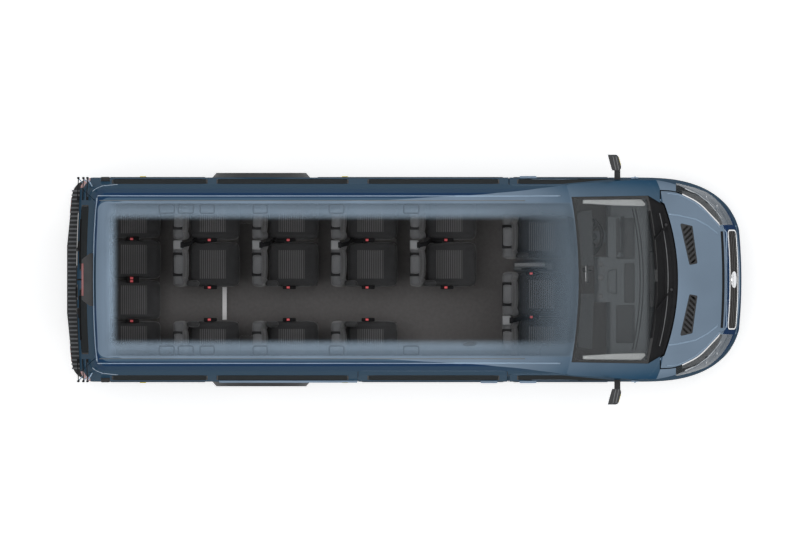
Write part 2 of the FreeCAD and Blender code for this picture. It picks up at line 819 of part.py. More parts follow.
def rear_door_prism(gap):
    """The left rear door's area through the rear wall, grown by gap."""
    outline = grown(rear_door_outline(), gap)
    return end_prism(outline, -HALF_LENGTH - HULL_MARGIN, -HALF_LENGTH + REAR_WALL_DEPTH)


def rear_window_prism(gap):
    """The left rear door glass's area, grown by gap."""
    outline = rectangle(REAR_WINDOW_INNER_Y, REAR_WINDOW_OUTER_Y, BELT_Z, REAR_WINDOW_TOP_Z, WINDOW_CORNER)
    return end_prism(grown(outline, gap), -HALF_LENGTH - HULL_MARGIN, -HALF_LENGTH + REAR_WALL_DEPTH)


def front_hinges(on_door):
    """The left front door's hinge barrels and leaves, for the door or for the wing."""
    axis_x = DOOR_FRONT_X + DOOR_GAP / 2
    near_x = axis_x - DOOR_GAP / 2
    leaf = (near_x - HINGE_LEAF_REACH, near_x) if on_door else (axis_x, axis_x + HINGE_LEAF_REACH)
    parts = []
    for z in DOOR_HINGE_HEIGHTS:
        z0 = z + SEAT_GAP if on_door else z - HINGE_BARREL_LENGTH
        z1 = z0 + HINGE_BARREL_LENGTH
        low, high = Vector(axis_x, DOOR_HINGE_Y, z0), Vector(axis_x, DOOR_HINGE_Y, z1)
        parts.append(rod(low, high, HINGE_BARREL_RADIUS))
        parts.append(box(leaf[0], leaf[1], DOOR_HINGE_Y - WALL / 2, DOOR_HINGE_Y, z0, z1))
    return parts


def hinge_pockets():
    """The room round the left front door's hinge barrels, cut from the door and from the wing."""
    axis_x = DOOR_FRONT_X + DOOR_GAP / 2
    reach = HINGE_BARREL_LENGTH + HINGE_POCKET_GAP
    radius = HINGE_BARREL_RADIUS + HINGE_POCKET_GAP
    return [
        rod(Vector(axis_x, DOOR_HINGE_Y, z - reach), Vector(axis_x, DOOR_HINGE_Y, z + reach), radius)
        for z in DOOR_HINGE_HEIGHTS
    ]


def rear_axis_point(z):
    """A point on the left rear door's hinge axis, which leans forward with the rear wall."""
    return Vector(REAR_HINGE_X + REAR_LEAN_SHARE * (z - REAR_HINGE_REF_Z), REAR_HINGE_Y, z)


def rear_hinges(on_door):
    """The left rear door's hinge halves, each a barrel and its arm, for the door or for the body."""
    parts = []
    for z, foot_reach in zip(REAR_HINGE_HEIGHTS, REAR_HINGE_FOOT_REACHES):
        low = z + REAR_HINGE_END_GAP if on_door else z - REAR_HINGE_LENGTH
        high = low + REAR_HINGE_LENGTH
        half_hinge = [rod(rear_axis_point(low), rear_axis_point(high), REAR_HINGE_RADIUS)]
        pin = rear_axis_point((low + high) / 2)
        if on_door:
            tip = Vector(pin.x - REAR_HINGE_RADIUS, REAR_HINGE_ARM_END_Y, pin.z)
            pad_y = REAR_HINGE_ARM_END_Y + REAR_HINGE_PAD_LENGTH
            pad_x = pin.x + REAR_HINGE_PAD_DEPTH
            half_hinge.append(box(tip.x, pad_x, REAR_HINGE_ARM_END_Y, pad_y, low, high))
        else:
            tip = Vector(pin.x + REAR_HINGE_FOOT_X, pin.y - foot_reach, pin.z)
        along = tip - pin
        along.normalize()
        half = Vector(-along.y, along.x, 0) * (REAR_HINGE_ARM / 2)
        foot = Vector(0, 0, low - pin.z)
        corners = [pin + half + foot, tip + half + foot, tip - half + foot, pin - half + foot]
        arm = Part.Face(Part.makePolygon(corners + corners[:1]))
        half_hinge.append(arm.extrude(Vector(0, 0, high - low)))
        parts.append(fused(half_hinge))
    return parts


def handle(x):
    """A grab handle standing on the left side's skin."""
    x0 = x - HANDLE_LENGTH / 2
    x1 = x + HANDLE_LENGTH / 2
    outline = rectangle(x0, x1, HANDLE_OUTER_Y - HANDLE_DEPTH, HANDLE_OUTER_Y, HANDLE_CORNER)
    return plan_prism(outline, HANDLE_Z - HANDLE_HEIGHT / 2, HANDLE_Z + HANDLE_HEIGHT / 2)


def build_openings(shell, pane):
    """Doors, windows and their glass."""
    nodes = {}
    door = shell.common(door_prism(-DOOR_GAP / 2)).cut([door_window_prism(0)] + hinge_pockets())
    door = fused([door] + front_hinges(True) + [handle(HANDLE_X)])
    glass = pane.common(door_window_prism(-SEAT_GAP))
    nodes["front_door_left"] = door
    nodes["front_door_right"] = mirrored(door)
    nodes["front_door_left_window"] = glass
    nodes["front_door_right_window"] = mirrored(glass)

    panes = [pane.common(window_prism(span, -SEAT_GAP)) for span in WINDOW_SPANS]
    slide = shell.common(slide_prism(-SLIDE_GAP / 2)).cut(mirrored(window_prism(WINDOW_SPANS[2], 0)))
    latch = box(
        SLIDE_REAR_X - SLIDE_GAP / 2 + SEAT_GAP,
        SLIDE_REAR_X + SLIDE_LATCH_LENGTH,
        -HALF_WIDTH + WALL / 2,
        -HALF_WIDTH + WALL,
        SLIDE_LATCH_Z,
        SLIDE_LATCH_Z + SLIDE_LATCH_LENGTH,
    )
    nodes["slide_door"] = fused([slide, mirrored(handle(SLIDE_HANDLE_X)), latch])
    nodes["slide_door_window"] = mirrored(panes[2])
    nodes["side_windows"] = Part.makeCompound(panes + [mirrored(p) for p in panes[:2]])

    rear_door = shell.common(rear_door_prism(-DOOR_GAP / 2)).cut(rear_window_prism(0))
    rear_door = fused([rear_door] + rear_hinges(True))
    rear_glass = pane.common(rear_window_prism(-SEAT_GAP))
    nodes["rear_door_left"] = rear_door
    nodes["rear_door_right"] = mirrored(rear_door)
    nodes["rear_door_left_window"] = rear_glass
    nodes["rear_door_right_window"] = mirrored(rear_glass)
    return nodes


def build_sides(shell, holes):
    """The two body sides, with the hinge and rail pieces that they carry, and the tail lamps."""
    far = HALF_LENGTH + HULL_MARGIN
    reach = HALF_WIDTH + HULL_MARGIN
    side_zone = box(-far, far, ROOF_SEAM_Y + SEAT_GAP, reach, SILL_Z, HEIGHT + HULL_MARGIN)
    wing_zone = box(WING_REAR_X - SEAT_GAP, far, 0, reach, 0, WING_TOP_Z + SEAT_GAP)
    bumper_zone = box(-far, REAR_BUMPER_FRONT_X + SEAT_GAP, 0, reach, 0, REAR_BUMPER_TOP_Z + SEAT_GAP)
    lamp_zone = box(-far, TAIL_LAMP_FRONT_X, TAIL_LAMP_INNER_Y, reach, TAIL_LAMP_BASE_Z, TAIL_LAMP_TOP_Z)
    windows = [window_prism(span, 0) for span in WINDOW_SPANS]
    base = shell.common(side_zone).cut([wing_zone, bumper_zone, lamp_zone] + holes + windows[:2])
    brackets = [half_hinge.cut(hull(-SEAT_GAP)) for half_hinge in rear_hinges(False)]
    left = Part.makeCompound([base.cut(windows[2])] + brackets)
    cover = box(
        RAIL_COVER_REAR_X,
        SLIDE_REAR_X - SLIDE_GAP,
        -RAIL_COVER_Y,
        -RAIL_COVER_Y + RAIL_COVER_DEPTH,
        RAIL_COVER_Z - RAIL_COVER_HEIGHT / 2,
        RAIL_COVER_Z + RAIL_COVER_HEIGHT / 2,
    )
    right = mirrored(base).cut(slide_prism(SLIDE_GAP / 2))
    right = Part.makeCompound([fused([right, cover])] + [mirrored(bracket) for bracket in brackets])
    lamp = box(
        -far,
        TAIL_LAMP_FRONT_X - SEAT_GAP,
        TAIL_LAMP_INNER_Y + SEAT_GAP,
        reach,
        TAIL_LAMP_BASE_Z + SEAT_GAP,
        TAIL_LAMP_TOP_Z - SEAT_GAP,
    )
    return {"side_left": left, "side_right": right, "tail_lamps": both_sides(shell.common(lamp))}


def bars(half_width, base_z, top_z, count, height):
    """Level bars spaced evenly across an opening in the nose."""
    pitch = (top_z - base_z) / (count + 1)
    x0 = HALF_LENGTH / 2
    x1 = HALF_LENGTH + HULL_MARGIN
    found = []
    for i in range(count):
        z = base_z + pitch * (i + 1)
        found.append(box(x0, x1, -half_width, half_width, z - height / 2, z + height / 2))
    return found


def build_nose(shell, holes):
    """Wings, front panel, grille, headlamps and front bumper."""
    nodes = {}
    far = HALF_LENGTH + HULL_MARGIN
    reach = HALF_WIDTH + HULL_MARGIN
    nose = shell.common(box(WING_REAR_X, far, -reach, reach, BUMPER_BASE_Z, WING_TOP_Z))
    nose = nose.cut(holes + [mirrored(hole) for hole in holes] + [bonnet_cutter(BONNET_GAP / 2)])
    nose = nose.cut(box(-far, BUMPER_REAR_X - TYRE_RADIUS, -reach, reach, 0, SILL_Z))

    def bumper_box(gap):
        return box(BUMPER_REAR_X + gap, far, -reach, reach, 0, BUMPER_TOP_Z - gap)

    def panel_box(gap):
        half = NOSE_PANEL_HALF_WIDTH - gap
        return box(NOSE_PANEL_REAR_X, far, -half, half, BUMPER_TOP_Z + gap, WING_TOP_Z)

    def lamp_prism(gap):
        outline = [
            (LAMP_REAR_X, WING_TOP_Z, 0),
            (LAMP_REAR_X, LAMP_REAR_Z, 0),
            (LAMP_KNEE_X, LAMP_BASE_Z, DOOR_CORNER),
            (far, LAMP_BASE_Z, 0),
            (far, WING_TOP_Z, 0),
        ]
        return side_prism(grown(outline, -gap), NOSE_PANEL_HALF_WIDTH + gap, reach)

    def opening(half_width, base_z, top_z, corner, gap):
        outline = rectangle(-half_width, half_width, base_z, top_z, corner)
        return end_prism(grown(outline, -gap), HALF_LENGTH / 2, far)

    band = hull(GRILLE_INSET).cut(cavity(GRILLE_INSET + GRILLE_DEPTH))
    intake = (INTAKE_HALF_WIDTH, INTAKE_BASE_Z, INTAKE_TOP_Z)
    slats = [band.common(bar) for bar in bars(*intake, INTAKE_BARS, INTAKE_BAR_HEIGHT)]
    bumper = nose.common(bumper_box(0)).cut(opening(*intake, INTAKE_CORNER, 0))
    nodes["front_bumper"] = fused([bumper] + slats)

    mouth = (GRILLE_HALF_WIDTH, GRILLE_BASE_Z, GRILLE_TOP_Z)
    nodes["front_panel"] = nose.common(panel_box(SEAT_GAP)).cut(opening(*mouth, GRILLE_CORNER, 0))
    rim = opening(*mouth, GRILLE_CORNER, SEAT_GAP).cut(opening(*mouth, GRILLE_CORNER, GRILLE_RIM))
    inside = opening(*mouth, GRILLE_CORNER, GRILLE_RIM)
    level = [inside.common(bar) for bar in bars(*mouth, GRILLE_BARS, GRILLE_BAR_HEIGHT)]
    nodes["grille"] = band.common(fused([rim] + level)).removeSplitter()

    lamp = nose.common(lamp_prism(SEAT_GAP))
    nodes["headlamps"] = both_sides(lamp)
    wings = nose.cut([bumper_box(-SEAT_GAP), panel_box(-SEAT_GAP), lamp_prism(0), mirrored(lamp_prism(0))])
    wing = wings.common(box(0, far, 0, reach, 0, HEIGHT)).cut(hinge_pockets())
    nodes["wing_left"] = fused([wing] + front_hinges(False))
    nodes["wing_right"] = mirrored(nodes["wing_left"])
    return nodes


def bonnet_vent_area(gap):
    """The left air vent's area in plan, grown by gap."""
    outline = [(x, y, VENT_CORNER) for x, y in VENT_POINTS]
    return plan_prism(grown(outline, gap), BONNET_CUT_BASE_Z, HEIGHT)


def bonnet_vent():
    """The left air vent: a plate in the bonnet with slanting slots."""
    band = hull(VENT_INSET).cut(cavity(VENT_INSET + VENT_THICKNESS))
    plate = band.common(bonnet_vent_area(-SEAT_GAP))
    inner = (Vector(*VENT_POINTS[2], 0) + Vector(*VENT_POINTS[3], 0)) / 2
    outer = (Vector(*VENT_POINTS[0], 0) + Vector(*VENT_POINTS[1], 0)) / 2
    slots = []
    for i in range(VENT_SLOTS):
        middle = inner + (outer - inner) * ((i + 0.5) / VENT_SLOTS)
        slot = box(-VENT_SLOT_REACH, VENT_SLOT_REACH, -VENT_SLOT_WIDTH / 2, VENT_SLOT_WIDTH / 2, 0, HEIGHT)
        slot.rotate(Vector(0, 0, 0), Vector(0, 0, 1), VENT_SLOT_TURN)
        slot.translate(Vector(middle.x, middle.y, BONNET_CUT_BASE_Z))
        slots.append(slot)
    return plate.cut(fused(slots).common(bonnet_vent_area(-VENT_RIM)))


def build_bonnet(outer):
    """The bonnet, its air vents and its hinge pins."""
    plan = bonnet_cutter(-BONNET_GAP / 2).cut(cowl_cutter(-BONNET_GAP))
    bonnet = outer.common(plan).cut(top_loft(BONNET_THICKNESS, True))
    bonnet = bonnet.cut([bonnet_vent_area(0), mirrored(bonnet_vent_area(0))])
    pins = []
    for side in (-1, 1):
        y = side * BONNET_HINGE_Y
        start = Vector(BONNET_HINGE_X, y - BONNET_HINGE_LENGTH / 2, BONNET_HINGE_Z)
        pins.append(rod(start, start + Vector(0, BONNET_HINGE_LENGTH, 0), BONNET_HINGE_RADIUS))
        leaf = box(
            BONNET_HINGE_X,
            BONNET_HINGE_X + WALL,
            y - BONNET_HINGE_LENGTH / 2,
            y + BONNET_HINGE_LENGTH / 2,
            BONNET_HINGE_Z - BONNET_HINGE_LEAF,
            BONNET_HINGE_Z,
        )
        pins.append(leaf.common(outer))
    vent = bonnet_vent()
    return {"bonnet": fused([bonnet] + pins), "bonnet_vents": both_sides(vent)}


def build_body():
    """Every panel and pane that is cut from the shell."""
    far = HALF_LENGTH + HULL_MARGIN
    outer = hull(0)
    shell = outer.cut(cavity(WALL))
    pane = hull(GLASS_INSET).cut(hull(GLASS_INSET + GLASS_THICKNESS))
    front_arch = arch_space(FRONT_AXLE_X, FRONT_ARCH_RADIUS, ARCH_CUT_Y)
    rear_arch = arch_space(REAR_AXLE_X, REAR_ARCH_RADIUS, ARCH_CUT_Y)
    door_hole = door_prism(DOOR_GAP / 2)
    rear_hole = rear_door_prism(DOOR_GAP / 2)
    screen_hole = screen_cutter(0)
    cowl_hole = cowl_cutter(0)

    nodes = build_openings(shell, pane)
    nodes.update(build_sides(shell, [rear_arch, rear_hole, screen_hole, cowl_hole, door_hole]))
    nodes.update(build_nose(shell, [front_arch, door_hole, cowl_hole]))
    nodes.update(build_bonnet(outer))
    nodes["windscreen"] = pane.common(screen_cutter(SEAT_GAP))
    nodes["cowl"] = hull(COWL_DROP).cut(cavity(WALL)).common(cowl_cutter(SEAT_GAP))
    roof = shell.common(box(-far, far, -ROOF_SEAM_Y, ROOF_SEAM_Y, ROOF_BASE_Z, HEIGHT + HULL_MARGIN))
    nodes["roof"] = roof.cut([screen_hole, rear_hole, mirrored(rear_hole)])
    return nodes


def rear_bumper():
    """A bumper that wraps round the rear corners, on two brackets from the frame."""
    corners = [
        (REAR_BUMPER_FRONT_X, REAR_BUMPER_HALF_WIDTH, 0),
        (-HALF_LENGTH + REAR_BUMPER_BOW, REAR_BUMPER_HALF_WIDTH, REAR_BUMPER_CORNER),
        (-HALF_LENGTH, REAR_BUMPER_FLAT_Y, 0),
    ]
    outline = corners + [(x, -y, radius) for x, y, radius in reversed(corners)]
    outside = plan_prism(outline, REAR_BUMPER_BASE_Z, REAR_BUMPER_TOP_Z)
    hollow = [
        (x + (WALL if x < REAR_BUMPER_FRONT_X else CUT_OVERRUN), y - REAR_BUMPER_WALL, radius)
        for x, y, radius in corners
    ]
    hollow += [(x, -y, radius) for x, y, radius in reversed(hollow)]
    inside = plan_prism(hollow, REAR_BUMPER_BASE_Z - CUT_OVERRUN, REAR_BUMPER_TOP_Z + CUT_OVERRUN)
    brackets = []
    for side in (-1, 1):
        y = side * RAIL_Y
        brackets.append(
            box(
                -HALF_LENGTH + WALL / 2,
                FRAME_REAR_X - SEAT_GAP,
                y - BRACKET_WIDTH / 2,
                y + BRACKET_WIDTH / 2,
                FRAME_BASE_Z - BRACKET_DROP,
                FRAME_BASE_Z + BRACKET_RISE,
            )
        )
    return fused([outside.cut(inside)] + brackets)


def rear_arch(keep_out):
    """The bulging cover over the left twin wheels, cut to sit on the body side."""
    centre = Vector(REAR_AXLE_X, ARCH_ROOT_Y, TYRE_RADIUS)
    depth = ARCH_OUTER_Y - ARCH_ROOT_Y
    flare = Part.makeCone(ARCH_BASE_RADIUS, ARCH_LIP_RADIUS, depth, centre, Vector(0, 1, 0))
    opening = arch_space(REAR_AXLE_X, REAR_ARCH_RADIUS, ARCH_CUT_Y)
    below = box(-HALF_LENGTH, HALF_LENGTH, 0, HALF_LENGTH, -HEIGHT, SILL_Z)
    return flare.cut([opening, below, keep_out])


def side_markers(keep_out):
    """Small lamps low on the left side."""
    found = []
    for x in MARKER_XS:
        lamp = box(
            x - MARKER_LENGTH / 2,
            x + MARKER_LENGTH / 2,
            HALF_WIDTH - WALL,
            MARKER_OUTER_Y,
            MARKER_Z - MARKER_HEIGHT / 2,
            MARKER_Z + MARKER_HEIGHT / 2,
        )
        found.append(lamp.cut(keep_out))
    return found


def build_trim():
    """Pieces that sit on the outside of the body."""
    keep_out = hull(-SEAT_GAP)
    arch = rear_arch(keep_out)
    markers = side_markers(keep_out)
    return {
        "rear_bumper": rear_bumper(),
        "rear_arches": both_sides(arch),
        "side_markers": Part.makeCompound(markers + [mirrored(m) for m in markers]),
    }


def mirror_housing():
    """The left door mirror: a tall housing on an arm from the door's front corner."""
    outline = [
        (MIRROR_X + MIRROR_DEPTH / 2, MIRROR_INNER_Y, MIRROR_CORNER),
        (MIRROR_X + MIRROR_DEPTH / 2 - MIRROR_SWEEP, MIRROR_TIP_Y, MIRROR_CORNER),
        (MIRROR_X - MIRROR_DEPTH / 2 - MIRROR_SWEEP, MIRROR_TIP_Y, 0),
        (MIRROR_X - MIRROR_DEPTH / 2, MIRROR_INNER_Y, 0),
    ]
    head = plan_prism(outline, MIRROR_BASE_Z, MIRROR_TOP_Z)
    arm = box(
        MIRROR_X - MIRROR_ARM_DEPTH / 2,
        MIRROR_X + MIRROR_ARM_DEPTH / 2,
        MIRROR_ROOT_Y,
        MIRROR_INNER_Y + MIRROR_CORNER,
        MIRROR_BASE_Z,
        MIRROR_BASE_Z + MIRROR_ARM_HEIGHT,
    )
    return fused([head, arm])


def frame_half(inside):
    """Left of the rails: the sill box with its ledge and outriggers, and the leaf spring's hangers."""
    clear_of_doors = cavity(WALL + DOOR_CLEARANCE)
    rail_face = RAIL_Y + RAIL_WIDTH / 2 + SEAT_GAP
    x0 = REAR_AXLE_X + REAR_ARCH_RADIUS + WHEELBOX_WALL
    x1 = FRONT_AXLE_X - LINER_RADIUS - LINER_WALL
    sill = box(x0, x1, SILL_INNER_Y, HALF_WIDTH, SILL_BOX_BASE_Z, FRAME_TOP_Z).common(clear_of_doors)
    ledge = box(x0, x1, SILL_INNER_Y, HALF_WIDTH, SILL_LEDGE_BASE_Z, SILL_LEDGE_TOP_Z).common(inside)
    arms = []
    for x in OUTRIGGER_XS:
        outer_y = SILL_INNER_Y + CROSS_LENGTH if x > REAR_AXLE_X else HALF_WIDTH
        arm = box(x, x + CROSS_LENGTH, rail_face, outer_y, FRAME_TOP_Z - OUTRIGGER_HEIGHT, FRAME_TOP_Z)
        arms.append(arm.common(inside))
    hangers = []
    for reach in (-SPRING_HALF_LENGTH, SPRING_HALF_LENGTH):
        x = REAR_AXLE_X + reach
        hangers.append(
            box(
                x - SPRING_HANGER_LENGTH / 2,
                x + SPRING_HANGER_LENGTH / 2,
                rail_face,
                SPRING_Y + SPRING_WIDTH / 2,
                SPRING_TOP_Z + SEAT_GAP,
                FRAME_BASE_Z + OUTRIGGER_HEIGHT,
            )
        )
    return [fused([sill, ledge] + arms[1:]), arms[0]] + hangers


def underframe():
    """Two rails with crossmembers between them, and sill boxes, outriggers and spring hangers outside."""
    inside = cavity(WALL + SEAT_GAP)
    far = HALF_LENGTH + HULL_MARGIN
    inner = RAIL_Y - RAIL_WIDTH / 2
    outer = RAIL_Y + RAIL_WIDTH / 2
    rail = box(FRAME_REAR_X, far, inner, outer, FRAME_BASE_Z, FRAME_TOP_Z).common(inside)
    half = [rail] + frame_half(inside)
    reach = inner - SEAT_GAP
    pieces = [box(x, x + CROSS_LENGTH, -reach, reach, FRAME_BASE_Z, FRAME_TOP_Z) for x in CROSS_XS]
    well = mirrored(box(*step_well_outline(0), 0, HEIGHT))
    pieces += half + [mirrored(piece).cut(well) for piece in half]
    return Part.makeCompound(pieces)


def step_well_outline(gap):
    """X and Y bounds of the entrance step, mirrored to the left side, grown by gap."""
    return (
        STEP_WELL_REAR_X - STEP_WELL_WALL - SEAT_GAP - gap,
        STEP_WELL_FRONT_X + STEP_WELL_WALL + SEAT_GAP + gap,
        STEP_WELL_INNER_Y - STEP_WELL_WALL - SEAT_GAP - gap,
        HALF_WIDTH,
    )


def wheel_box(gap):
    """The left rear wheel box as a solid block, grown by gap."""
    half_length = WHEELBOX_HALF_LENGTH + gap
    base_z = FRAME_TOP_Z + SEAT_GAP - gap
    return box(
        REAR_AXLE_X - half_length,
        REAR_AXLE_X + half_length,
        WHEELBOX_INNER_Y - gap,
        HALF_WIDTH + HULL_MARGIN,
        base_z,
        WHEELBOX_TOP_Z + gap,
    )


def wheel_boxes():
    """The two boxes over the rear wheels."""
    hollow = box(
        REAR_AXLE_X - WHEELBOX_HALF_LENGTH + WHEELBOX_WALL,
        REAR_AXLE_X + WHEELBOX_HALF_LENGTH - WHEELBOX_WALL,
        WHEELBOX_INNER_Y + WHEELBOX_WALL,
        HALF_WIDTH + HULL_MARGIN,
        0,
        WHEELBOX_TOP_Z - WHEELBOX_WALL,
    )
    return both_sides(wheel_box(0).common(cavity(WALL + SEAT_GAP)).cut(hollow))


def entrance_step():
    """The step well behind the sliding door, in the right side of the floor."""
    outer = box(*step_well_outline(-SEAT_GAP), STEP_WELL_Z - STEP_WELL_WALL, FLOOR_TOP_Z)
    reach = HALF_WIDTH + HULL_MARGIN
    inner = box(STEP_WELL_REAR_X, STEP_WELL_FRONT_X, STEP_WELL_INNER_Y, reach, STEP_WELL_Z, HEIGHT)
    return mirrored(outer.common(cavity(WALL + DOOR_CLEARANCE)).cut(inner))


def floor_plate(x0, x1, top_z):
    """A floor plate on the frame, clear of the wheel boxes."""
    reach = HALF_WIDTH + HULL_MARGIN
    plate = box(x0, x1, -reach, reach, FRAME_TOP_Z + SEAT_GAP, top_z).common(cavity(WALL + DOOR_CLEARANCE))
    return plate.cut([wheel_box(SEAT_GAP), mirrored(wheel_box(SEAT_GAP))])


def floor():
    """The main floor with the bulkhead at its front end."""
    bulkhead = box(
        BULKHEAD_X,
        BULKHEAD_X + BULKHEAD_THICKNESS,
        -LINER_INNER_Y + SEAT_GAP,
        LINER_INNER_Y - SEAT_GAP,
        FRAME_TOP_Z + SEAT_GAP,
        BULKHEAD_TOP_Z,
    )
    liner = across(FRONT_AXLE_X, LINER_RADIUS + LINER_WALL + SEAT_GAP, LINER_INNER_Y - SEAT_GAP)
    well = mirrored(box(*step_well_outline(0), 0, HEIGHT))
    body = fused([floor_plate(FLOOR_STEP_X + SEAT_GAP, BULKHEAD_X, FLOOR_TOP_Z), bulkhead])
    return body.cut([liner, mirrored(liner), well])


def step_strip():
    """The pale strip across the aisle at the edge of the raised floor."""
    z = REAR_FLOOR_TOP_Z + SEAT_GAP
    x = FLOOR_STEP_X
    return box(x - STEP_STRIP_LENGTH, x, STEP_STRIP_RIGHT_Y, STEP_STRIP_LEFT_Y, z, z + STRIP_THICKNESS)


def kingpin_point(z):
    """A point on the left kingpin's axis at height z."""
    lean = math.tan(math.radians(KINGPIN_TILT))
    return Vector(FRONT_AXLE_X, KINGPIN_Y - lean * (z - TYRE_RADIUS), z)


def wheel_liner():
    """The left front wheel's inner arch, with the strut's upper seat inside its top."""
    length = HALF_WIDTH + HULL_MARGIN - LINER_INNER_Y
    centre = Vector(FRONT_AXLE_X, LINER_INNER_Y, TYRE_RADIUS)
    out = Vector(0, 1, 0)
    skin = Part.makeCylinder(LINER_RADIUS + LINER_WALL, length, centre, out)
    hollow = Part.makeCylinder(LINER_RADIUS, length, centre + out * LINER_WALL, out)
    below = box(0, LENGTH, 0, LENGTH, -HEIGHT, LINER_BASE_Z)
    open_side = box(0, LENGTH, 0, LINER_INNER_Y + LINER_WALL, -HEIGHT, LINER_CLOSED_Z)
    tower = rod(kingpin_point(STRUT_TOP_Z + SEAT_GAP), kingpin_point(STRUT_TOP_Z + TYRE_RADIUS), TOWER_RADIUS)
    tower = tower.common(skin)
    liner = skin.cut([hollow, below, open_side]).fuse(tower)
    return liner.common(cavity(WALL + LINER_GAP)).removeSplitter()


def front_subframe():
    """The crossbeam under the engine, its posts to the frame, and the lower arms to the ball joints."""
    x0 = FRONT_AXLE_X - SUBFRAME_LENGTH / 2
    x1 = FRONT_AXLE_X + SUBFRAME_LENGTH / 2
    beam = box(x0, x1, -SUBFRAME_HALF_WIDTH, SUBFRAME_HALF_WIDTH, SUBFRAME_BASE_Z, SUBFRAME_TOP_Z)
    ball = kingpin_point(BALL_Z)
    socket = rod(kingpin_point(0), kingpin_point(TYRE_RADIUS), BALL_RADIUS + SEAT_GAP)
    arm = box(
        FRONT_AXLE_X - ARM_WIDTH / 2,
        FRONT_AXLE_X + ARM_WIDTH / 2,
        SUBFRAME_HALF_WIDTH - CUT_OVERRUN,
        ball.y,
        BALL_Z - ARM_THICKNESS / 2,
        BALL_Z + ARM_THICKNESS / 2,
    ).cut(socket)
    post = box(
        FRONT_AXLE_X - CROSS_LENGTH / 2,
        FRONT_AXLE_X + CROSS_LENGTH / 2,
        RAIL_Y - RAIL_WIDTH / 2,
        RAIL_Y + RAIL_WIDTH / 2,
        BALL_Z,
        FRAME_BASE_Z - SEAT_GAP,
    )
    return fused([beam, arm, mirrored(arm), post, mirrored(post)])


def knuckle():
    """The left steering knuckle: ball, upright, strut, spindle and brake caliper."""
    centre = kingpin_point(TYRE_RADIUS)
    spindle = rod(centre, Vector(FRONT_AXLE_X, SPINDLE_END_Y, TYRE_RADIUS), SPINDLE_RADIUS)
    caliper = box(
        FRONT_AXLE_X + CALIPER_X - CALIPER_LENGTH / 2,
        FRONT_AXLE_X + CALIPER_X + CALIPER_LENGTH / 2,
        BRAKE_DISC_Y - BRAKE_DISC_THICKNESS / 2 - DOOR_CLEARANCE - CALIPER_THICKNESS,
        BRAKE_DISC_Y - BRAKE_DISC_THICKNESS / 2 - DOOR_CLEARANCE,
        TYRE_RADIUS - CALIPER_HEIGHT / 2,
        TYRE_RADIUS + CALIPER_HEIGHT / 2,
    )
    carrier = box(
        FRONT_AXLE_X + CALIPER_X,
        FRONT_AXLE_X,
        BRAKE_DISC_Y - BRAKE_DISC_THICKNESS / 2 - DOOR_CLEARANCE - CALIPER_THICKNESS,
        BRAKE_DISC_Y - BRAKE_DISC_THICKNESS / 2 - DOOR_CLEARANCE - CALIPER_THICKNESS / 2,
        TYRE_RADIUS - SPINDLE_RADIUS,
        TYRE_RADIUS + SPINDLE_RADIUS,
    )
    return fused([
        rod(kingpin_point(BALL_BASE_Z), kingpin_point(BALL_TOP_Z), BALL_RADIUS),
        rod(kingpin_point(BALL_Z), centre, UPRIGHT_RADIUS),
        rod(centre, kingpin_point(STRUT_TOP_Z), STRUT_RADIUS),
        spindle,
        caliper,
        carrier,
    ])


def tyre(x, y):
    """One tyre, with its beads just clear of the rim."""
    half = [
        (TYRE_WIDTH / 2, RIM_RADIUS + SEAT_GAP),
        (TYRE_WIDTH / 2, SHOULDER_RADIUS),
        (TREAD_WIDTH / 2, TYRE_RADIUS),
    ]
    section = half + [(-along, radius) for along, radius in reversed(half)]
    return revolved(section, Vector(x, y, TYRE_RADIUS))


def wheel_rim(x, y, side, centre_y):
    """One wheel: a barrel and a dished disc. side is 1 if the dish faces outwards, centre_y the hub face."""
    hub = abs(centre_y - y)
    barrel = RIM_RADIUS - RIM_WALL
    edge = RIM_HALF_WIDTH - DISH_EDGE_INSET
    section = [
        (-RIM_HALF_WIDTH, RIM_RADIUS),
        (RIM_HALF_WIDTH, RIM_RADIUS),
        (RIM_HALF_WIDTH, barrel),
        (edge, barrel),
        (edge, DISH_RADIUS),
        (hub, DISH_RADIUS),
        (hub, HUB_RADIUS),
        (hub - DISC_THICKNESS, HUB_RADIUS),
        (hub - DISC_THICKNESS, DISH_RADIUS - DISC_THICKNESS),
        (edge - DISC_THICKNESS, DISH_RADIUS - DISC_THICKNESS),
        (edge - DISC_THICKNESS, barrel),
        (-RIM_HALF_WIDTH, barrel),
    ]
    return revolved([(side * along, radius) for along, radius in section], Vector(x, y, TYRE_RADIUS))


def wheel_holes(x, y0, y1):
    """Round openings through a wheel's disc."""
    holes = []
    for i in range(WHEEL_HOLES):
        angle = math.radians(360 * i / WHEEL_HOLES)
        out = Vector(math.cos(angle), 0, math.sin(angle)) * WHEEL_HOLE_CIRCLE
        start = Vector(x, y0, TYRE_RADIUS) + out
        holes.append(rod(start, start + Vector(0, y1 - y0, 0), WHEEL_HOLE_RADIUS))
    return holes


